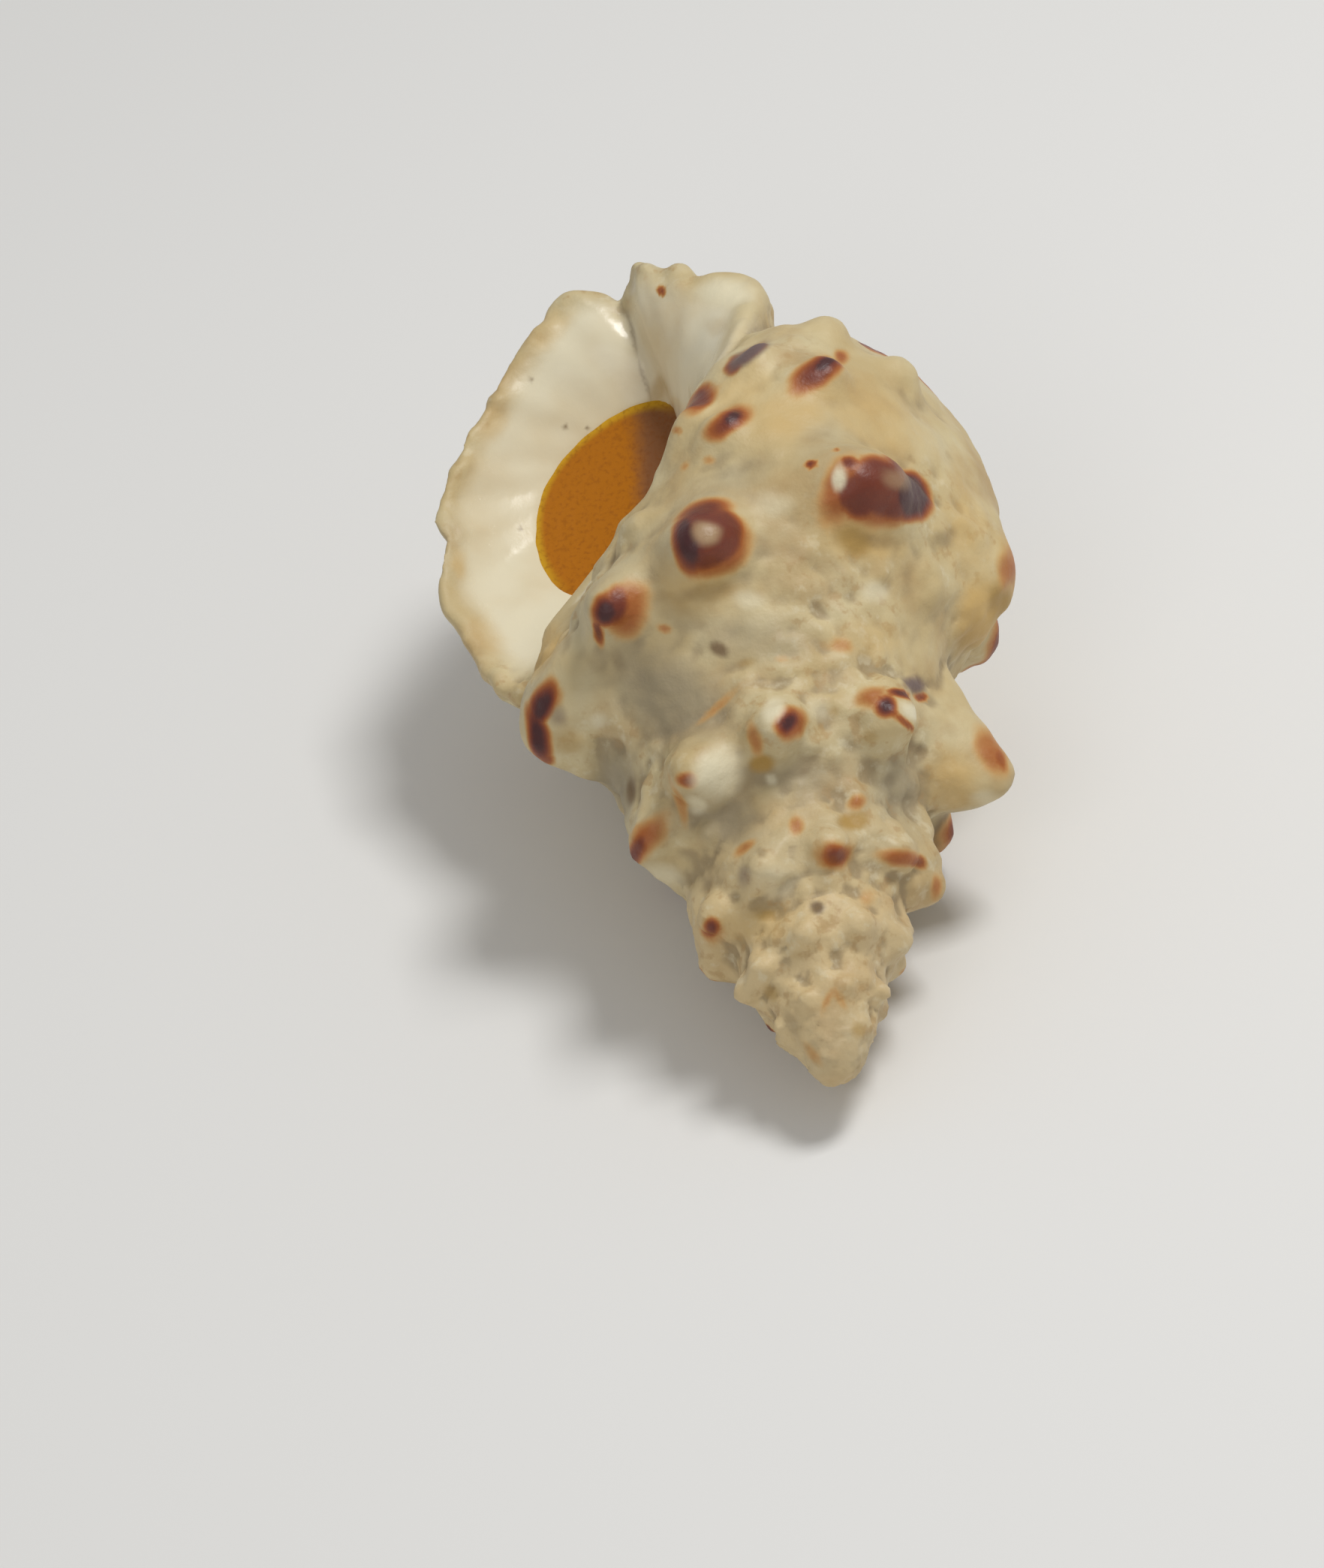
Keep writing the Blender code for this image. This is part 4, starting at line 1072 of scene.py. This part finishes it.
@dataclass
class Shell:
    """The shell as one fused piece, with its relief and its painted marks."""
    form: ShellForm
    view: Viewpoint
    finish: ShellFinish
    spots: SpotRule = SpotRule()
    voxel: float = 0.00028
    ease_factor: float = 0.5
    ease_rounds: int = 2
    triangles: int = 188000
    tip_radius: float = 0.0018       # of the ball that rounds off the spire's tip
    tip_height: float = -0.0047
    grain_seed: int = 3
    grain_sizes: tuple[float, float] = (0.0021, 0.0008)
    grain_heights: tuple[float, float] = (0.00018, 0.00006)
    crust_sizes: tuple[float, float] = (0.007, 0.0010)  # of the crusted areas and of their grains
    crust_seeds: tuple[int, int] = (215, 14)
    crust_band: tuple[float, float] = (-0.1, 0.4)       # noise at which an area starts, and its ease
    crust_height: float = 0.00028
    cord_seed: int = 9
    cord_height: float = 0.00010     # beads along the spiral
    cord_cells: tuple[float, float, float] = (62.0, 300.0, 0.0)
    knob_polish: float = 0.6         # how much of the relief a knob's crown lacks
    lip_age: float = 0.985           # age at which the lip's back begins
    lip_ease: float = 0.01
    lip_rounds: int = 14
    facts_rounds: int = 5
    # Rounds of smoothing, depth that counts as full, and share in the painted shade of the hollows
    cavities: tuple[tuple[int, float, float], ...] = ((160, .00045, .6), (12, .00006, .4))
    mark_depth: float = 0.0014       # how far in front or behind its centre a mark still paints
    mark_slack: float = 0.3          # share of that depth over which it doesn't fade
    wander_pixels: float = 5.0       # how far a mark's edge wanders
    wander_seeds: tuple[int, int] = (21, 22)
    wander_sizes: tuple[float, float] = (0.0026, 0.0012)
    wander_fine: float = 0.6         # share of the finer size

    def fuse(self) -> bpy.types.Object:
        """Close the rings to one solid and carry the facts of the grid over to it."""
        rings, facts = self.form.grid()
        source = link_piece("shell_source", tube_mesh("shell_source", rings))
        carried = source.data.color_attributes.new(name="facts", type="FLOAT_COLOR", domain="POINT")
        ends = np.stack((facts[0].mean(axis=0), facts[-1].mean(axis=0)))
        carried.data.foreach_set("color", np.concatenate((facts.reshape(-1, 4), ends)).ravel())
        shell = link_piece("frog_shell", source.data.copy())
        self.add_tip(shell.data)
        self.close_and_thin(shell)
        shell.data.color_attributes.new(name="facts", type="FLOAT_COLOR", domain="POINT")
        carry = shell.modifiers.new("carry", "DATA_TRANSFER")
        carry.object = source
        carry.use_vert_data = True
        carry.data_types_verts = {"COLOR_VERTEX"}
        carry.vert_mapping = "POLYINTERP_NEAREST"
        apply_modifiers(shell)
        bpy.data.objects.remove(source)
        return shell

    def add_tip(self, mesh: bpy.types.Mesh) -> None:
        """Round off the spire's tip with a ball."""
        work = bmesh.new()
        work.from_mesh(mesh)
        bmesh.ops.create_uvsphere(work, u_segments=48, v_segments=32, radius=self.tip_radius,
                                  matrix=Matrix.Translation((0, 0, self.tip_height)))
        work.to_mesh(mesh)
        work.free()

    def close_and_thin(self, shell: bpy.types.Object) -> None:
        """Fuse the overlapping whorls to one skin, ease it, and bring it to its triangle count."""
        fuse = shell.modifiers.new("fuse", "REMESH")
        fuse.mode = "VOXEL"
        fuse.voxel_size = self.voxel
        ease = shell.modifiers.new("ease", "SMOOTH")
        ease.factor = self.ease_factor
        ease.iterations = self.ease_rounds
        apply_modifiers(shell)
        count = sum(len(face.vertices) - 2 for face in shell.data.polygons)
        thin = shell.modifiers.new("thin", "DECIMATE")
        thin.ratio = self.triangles / count
        apply_modifiers(shell)

    def facts(self, mesh: bpy.types.Mesh) -> np.ndarray:
        """The four facts of each vertex."""
        return read_rows(mesh.attributes["facts"].data, "color", 4)

    def ease_lip_back(self, mesh: bpy.types.Mesh) -> None:
        """Smooth the back of the lip, whose thin edge comes out of the fusing ragged."""
        points = read_points(mesh)
        facts = self.facts(mesh)
        share = ramp(facts[:, 2], self.lip_age, self.lip_ease) * smooth_step(1 - 3 * facts[:, 0])
        eased = ease_over(mesh, points, self.lip_rounds)
        write_points(mesh, points + share[:, None] * (eased - points))

    def roughen(self, mesh: bpy.types.Mesh) -> None:
        """Move vertices along their normals by sizes of noise, less on the porcelain."""
        points = read_points(mesh)
        facts = self.facts(mesh)
        chalk = 1 - facts[:, 0]
        relief = np.zeros(len(points))
        for seed, (size, height) in enumerate(zip(self.grain_sizes, self.grain_heights)):
            relief += height * lattice_noise(points, size, seed + self.grain_seed)
        grains = lattice_noise(points, self.crust_sizes[1], self.crust_seeds[1])
        relief += self.crust_height * self.crust(points) * grains
        beads = lattice_noise(facts[:, [3, 2, 2]] * self.cord_cells, 1.0, self.cord_seed)
        relief += self.cord_height * beads
        relief *= chalk * (1 - self.knob_polish * facts[:, 1])
        write_points(mesh, points + relief[:, None] * read_normals(mesh))

    def crust(self, points: np.ndarray) -> np.ndarray:
        """How crusted the wall is at each point, in patches."""
        areas = lattice_noise(points, self.crust_sizes[0], self.crust_seeds[0])
        return ramp(areas, *self.crust_band)

    def cut_flat(self, mesh: bpy.types.Mesh) -> None:
        """Cut the mesh off level at the floor and close the cuts."""
        work = bmesh.new()
        work.from_mesh(mesh)
        everything = work.verts[:] + work.edges[:] + work.faces[:]
        cut = bmesh.ops.bisect_plane(work, geom=everything, dist=1e-8, plane_co=(0, 0, 0),
                                     plane_no=(0, 0, -1), clear_outer=True)
        rim = [edge for edge in cut["geom_cut"] if isinstance(edge, bmesh.types.BMEdge)]
        bmesh.ops.triangle_fill(work, use_beauty=True, edges=rim, normal=(0, 0, -1))
        bmesh.ops.triangulate(work, faces=work.faces[:])
        bmesh.ops.recalc_face_normals(work, faces=work.faces[:])
        work.to_mesh(mesh)
        work.free()

    def wander(self, points: np.ndarray) -> np.ndarray:
        """How far each vertex is moved in the photograph before marks are laid on, in pixels."""
        broad, close = self.wander_sizes
        moves = []
        for seed in self.wander_seeds:
            fine = self.wander_fine * lattice_noise(points, close, seed + 5)
            moves.append(lattice_noise(points, broad, seed) + fine)
        return np.stack(moves, axis=-1) * self.wander_pixels

    def depth_at(self, mark: Mark, tree: BVHTree) -> float:
        """How far from the camera the line of sight through a mark's centre meets the shell."""
        start, aim = self.view.ray(self.form.spiral, mark.x, mark.y)
        hit = tree.ray_cast(start, aim)[0]
        if hit is None:
            hit = tree.find_nearest(start + aim * self.view.distance)[0]
            logging.info("mark at %s, %s is off the shell", mark.x, mark.y)
        return self.view.pixels(self.form.spiral, np.array([hit]))[1][0]

    def cover(self, mark: Mark, depth: float, pixels: np.ndarray, depths: np.ndarray) -> np.ndarray:
        """How much a mark covers each vertex.

        Args:
            mark: the mark.
            depth: distance of its centre from the camera.
            pixels: place of each vertex in the photograph.
            depths: distance of each vertex from the camera.

        Returns:
            A value from 0 to the mark's strength for each vertex.
        """
        turn = math.radians(mark.turn)
        offset = pixels - (mark.x, mark.y)
        along = (offset[:, 0] * math.cos(turn) + offset[:, 1] * math.sin(turn)) / mark.length
        across = (offset[:, 1] * math.cos(turn) - offset[:, 0] * math.sin(turn)) / mark.width
        size = min(mark.length, mark.width) / self.view.focal_pixels * depth
        behind = (depths - depth) / (self.mark_depth + size)
        beyond = np.maximum(np.abs(behind) - self.mark_slack, 0)
        reach = np.sqrt(along**2 + across**2 + beyond**2)
        softness = min(WIDEST_EDGE, EDGES[mark.tint] / min(mark.length, mark.width))
        return mark.strength * smooth_step((1 - reach) / softness + .5)

    def paint_marks(self, mesh: bpy.types.Mesh) -> dict[Tint, np.ndarray]:
        """How much each tint covers each vertex of the shell at rest, from 0 to 1."""
        points = read_points(mesh)
        pixels, depths = self.view.pixels(self.form.spiral, points)
        pixels = pixels + self.wander(points)
        work = bmesh.new()
        work.from_mesh(mesh)
        tree = BVHTree.FromBMesh(work)
        covers = {tint: np.zeros(len(points)) for tint in Tint}
        for mark in MARKS:
            cover = self.cover(mark, self.depth_at(mark, tree), pixels, depths)
            covers[mark.tint] = np.maximum(covers[mark.tint], cover)
        work.free()
        return covers

    def paint_back(self, mesh: bpy.types.Mesh, covers: dict[Tint, np.ndarray]) -> None:
        """Give every knob on the unseen side the kind of mark that the pictured ones have."""
        rule = self.spots
        points = read_points(mesh)
        spiral = self.form.spiral
        rest = np.array(spiral.at_rest())
        moves = [lattice_noise(points, rule.wander_size, seed) for seed in rule.wander_seeds]
        wander = np.stack(moves, axis=-1) * rule.wander
        random = np.random.RandomState(rule.seed)
        chalk = 1 - self.facts(mesh)[:, 0]
        for row, knob, angle, (foot, outward, forward, _across) in self.form.knob_frames():
            scale = float(spiral.scale(angle))
            crown = rest[:3, :3] @ (foot + outward * knob.height * scale * rule.crown) + rest[:3, 3]
            sideways = random.uniform(*rule.sideways) * knob.length * scale
            draw = random.rand()
            stretch = random.uniform(*rule.stretch)
            large = random.uniform(*rule.large)
            if not rule.is_unseen(row, knob):
                continue
            forward = rest[:3, :3] @ forward
            centre = crown + forward * sideways
            offset = points + wander - centre
            portion = rule.knob_share if row.place < rule.low_row else rule.bead_share
            size = min(knob.length, rule.longest) * scale * large * portion
            reach = np.linalg.norm(offset - np.outer(offset @ forward, forward) * stretch, axis=1) / size
            for tint, share, strength in rule.LAYERS[:2 + (draw > rule.plain)]:
                cover = strength * smooth_step((1 - reach / share) / rule.softness + .5) * chalk
                covers[tint] = np.maximum(covers[tint], cover)

    def build(self) -> bpy.types.Object:
        """Make the shell, lay it down, and paint it."""
        shell = self.fuse()
        mesh = shell.data
        mesh.transform(self.form.spiral.at_rest())
        self.ease_lip_back(mesh)
        self.roughen(mesh)
        self.cut_flat(mesh)
        mesh.shade_smooth()
        facts = ease_over(mesh, self.facts(mesh), self.facts_rounds)
        covers = self.paint_marks(mesh)
        self.paint_back(mesh, covers)
        burn = np.zeros(len(mesh.vertices))
        for tint, cover in covers.items():
            if tint in BURNS:
                burn = np.maximum(burn, cover * BURNS[tint])
            else:
                write_field(mesh, tint.value, cover)
        write_field(mesh, "burn", burn)
        # How deep each vertex lies below its neighbours, for the painted shade of the hollows and for their
        # roughness
        depths = [share * (depth_below_neighbours(mesh, rounds) / full)
                  for rounds, full, share in self.cavities]
        cavity = np.clip(sum(depths), 0, 1) * (1 - facts[:, 0])
        write_field(mesh, "crust", self.crust(read_points(mesh)) * (1 - facts[:, 0]))
        for name, values in (("porcelain", facts[:, 0]), ("age", facts[:, 2]), ("cavity", cavity)):
            write_field(mesh, name, values)
        mesh.attributes.remove(mesh.attributes["facts"])
        mesh.materials.clear()
        mesh.materials.append(self.finish.build())
        return shell


@dataclass
class Operculum:
    """The horny plate that closes the mouth, dished, with its rim in the throat's wall."""
    form: ShellForm
    finish: HornFinish
    overlap: float = 0.0006          # how far the rim reaches into the throat's wall
    thickness: float = 0.0009
    dish: float = 0.0006
    lift: float = 0.0002             # how far in front of the throat's ring the plate sits
    columns: int = 160
    rings: int = 24
    hub: float = 0.04                # size of the innermost ring
    back_step: int = 3               # the back has one ring for so many of the front
    rim_band: tuple[float, float] = (0.79, 0.16)    # share of the radius where the rim starts, and its ease
    rim_turn: float = 0.2
    rim_level: float = 0.4
    dusk_band: tuple[float, float] = (-0.15, 0.8)   # the same for the dusky side
    dusk_turn: float = 3.93

    def paint(self, mesh: bpy.types.Mesh, levels: np.ndarray) -> None:
        """Store the rings, the golden rim and the dusky side, with none at the two middles."""
        turn = np.linspace(0, 2 * np.pi, self.columns, endpoint=False)
        share = np.repeat(levels, self.columns)
        angle = np.tile(turn, len(levels))
        rim = ramp(share, *self.rim_band) * smooth_step(self.rim_level + np.sin(angle - self.rim_turn))
        dusk = ramp(share * np.cos(angle - self.dusk_turn), *self.dusk_band)
        for name, values in (("rings", share), ("rim", rim), ("dusk", dusk)):
            write_field(mesh, name, np.concatenate((values, (0.0, 0.0))))

    def build(self) -> bpy.types.Object:
        """Rings from the middle of the front face over the rim to the middle of the back."""
        spiral = self.form.spiral
        scale = float(spiral.scale(spiral.lip_angle))
        outline = closed_curve(self.columns) @ self.form.throat_ring(-self.overlap / scale)
        middle = outline.mean(axis=0)
        grid = []
        shares = np.linspace(self.hub, 1, self.rings)
        fronts = [(share, 0.0) for share in shares]
        backs = [(share, self.thickness / scale) for share in shares[::-self.back_step]]
        for share, depth in fronts + backs:
            ring = middle + (outline - middle) * share
            hollow = self.dish / scale * (1 - share**2)
            ring[:, 2] = self.form.throat_sink + self.lift / scale - depth - hollow
            grid.append(spiral.from_mouth(ring))
        plate = link_piece("horn_plate", tube_mesh("horn_plate", np.array(grid)))
        mesh = plate.data
        mesh.transform(spiral.at_rest())
        mesh.shade_smooth()
        self.paint(mesh, np.array([share for share, _depth in fronts + backs]))
        mesh.materials.append(self.finish.build())
        return plate


@dataclass
class Stage:
    """Pale floor, soft lights and a soft pale sky."""
    finish: FloorFinish
    half: float = 3.0
    sky: tuple = (1.0, 1.0, 1.0, 1.0)
    sky_strength: float = 0.36
    aim: tuple[float, float, float] = (0, 0, .012)      # what the lights look at
    # Name, place, width and power of each light
    lights: tuple = (("key", (.167, .024, .384), .12, .95), ("fill", (-.15, -.38, .30), .25, .32))

    def floor(self) -> bpy.types.Object:
        """A square floor at z = 0."""
        mesh = bpy.data.meshes.new("floor")
        signs = ((-1, -1), (1, -1), (1, 1), (-1, 1))
        corners = [(x * self.half, y * self.half, 0) for x, y in signs]
        mesh.from_pydata(corners, [], [(0, 1, 2, 3)])
        mesh.materials.append(self.finish.build())
        return link_piece("floor", mesh)

    def light(self, name: str, place: tuple[float, float, float], size: float, power: float) -> None:
        """A square soft light that looks at the shell."""
        lamp = bpy.data.lights.new(name, "AREA")
        lamp.energy = power
        lamp.size = size
        item = bpy.data.objects.new(name, lamp)
        item.location = place
        aim = Vector(self.aim) - Vector(place)
        item.rotation_euler = aim.to_track_quat("-Z", "Y").to_euler()
        bpy.context.collection.objects.link(item)

    def build(self) -> bpy.types.Object:
        """Make the floor, the lights and the sky."""
        floor = self.floor()
        for light in self.lights:
            self.light(*light)
        world = bpy.data.worlds.new("sky")
        world.use_nodes = True
        background = world.node_tree.nodes["Background"]
        background.inputs["Color"].default_value = self.sky
        background.inputs["Strength"].default_value = self.sky_strength
        bpy.context.scene.world = world
        bpy.context.scene.view_settings.view_transform = "Standard"
        return floor


def main() -> None:
    """Build the shell, its plate, the stage and the camera."""
    logging.basicConfig(level=logging.INFO, format="%(message)s")
    spiral = Spiral()
    form = ShellForm(spiral)
    view = Viewpoint()
    shell = Shell(form, view, ShellFinish()).build()
    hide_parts("shell")
    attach(shell, "root")
    logging.info("shell: %d triangles", len(shell.data.polygons))
    plate = Operculum(form, HornFinish()).build()
    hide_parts("operculum")
    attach(plate, "root")
    logging.info("operculum: %d faces", len(plate.data.polygons))
    Stage(FloorFinish()).build()
    view.build(spiral)


if __name__ == "__main__":
    main()
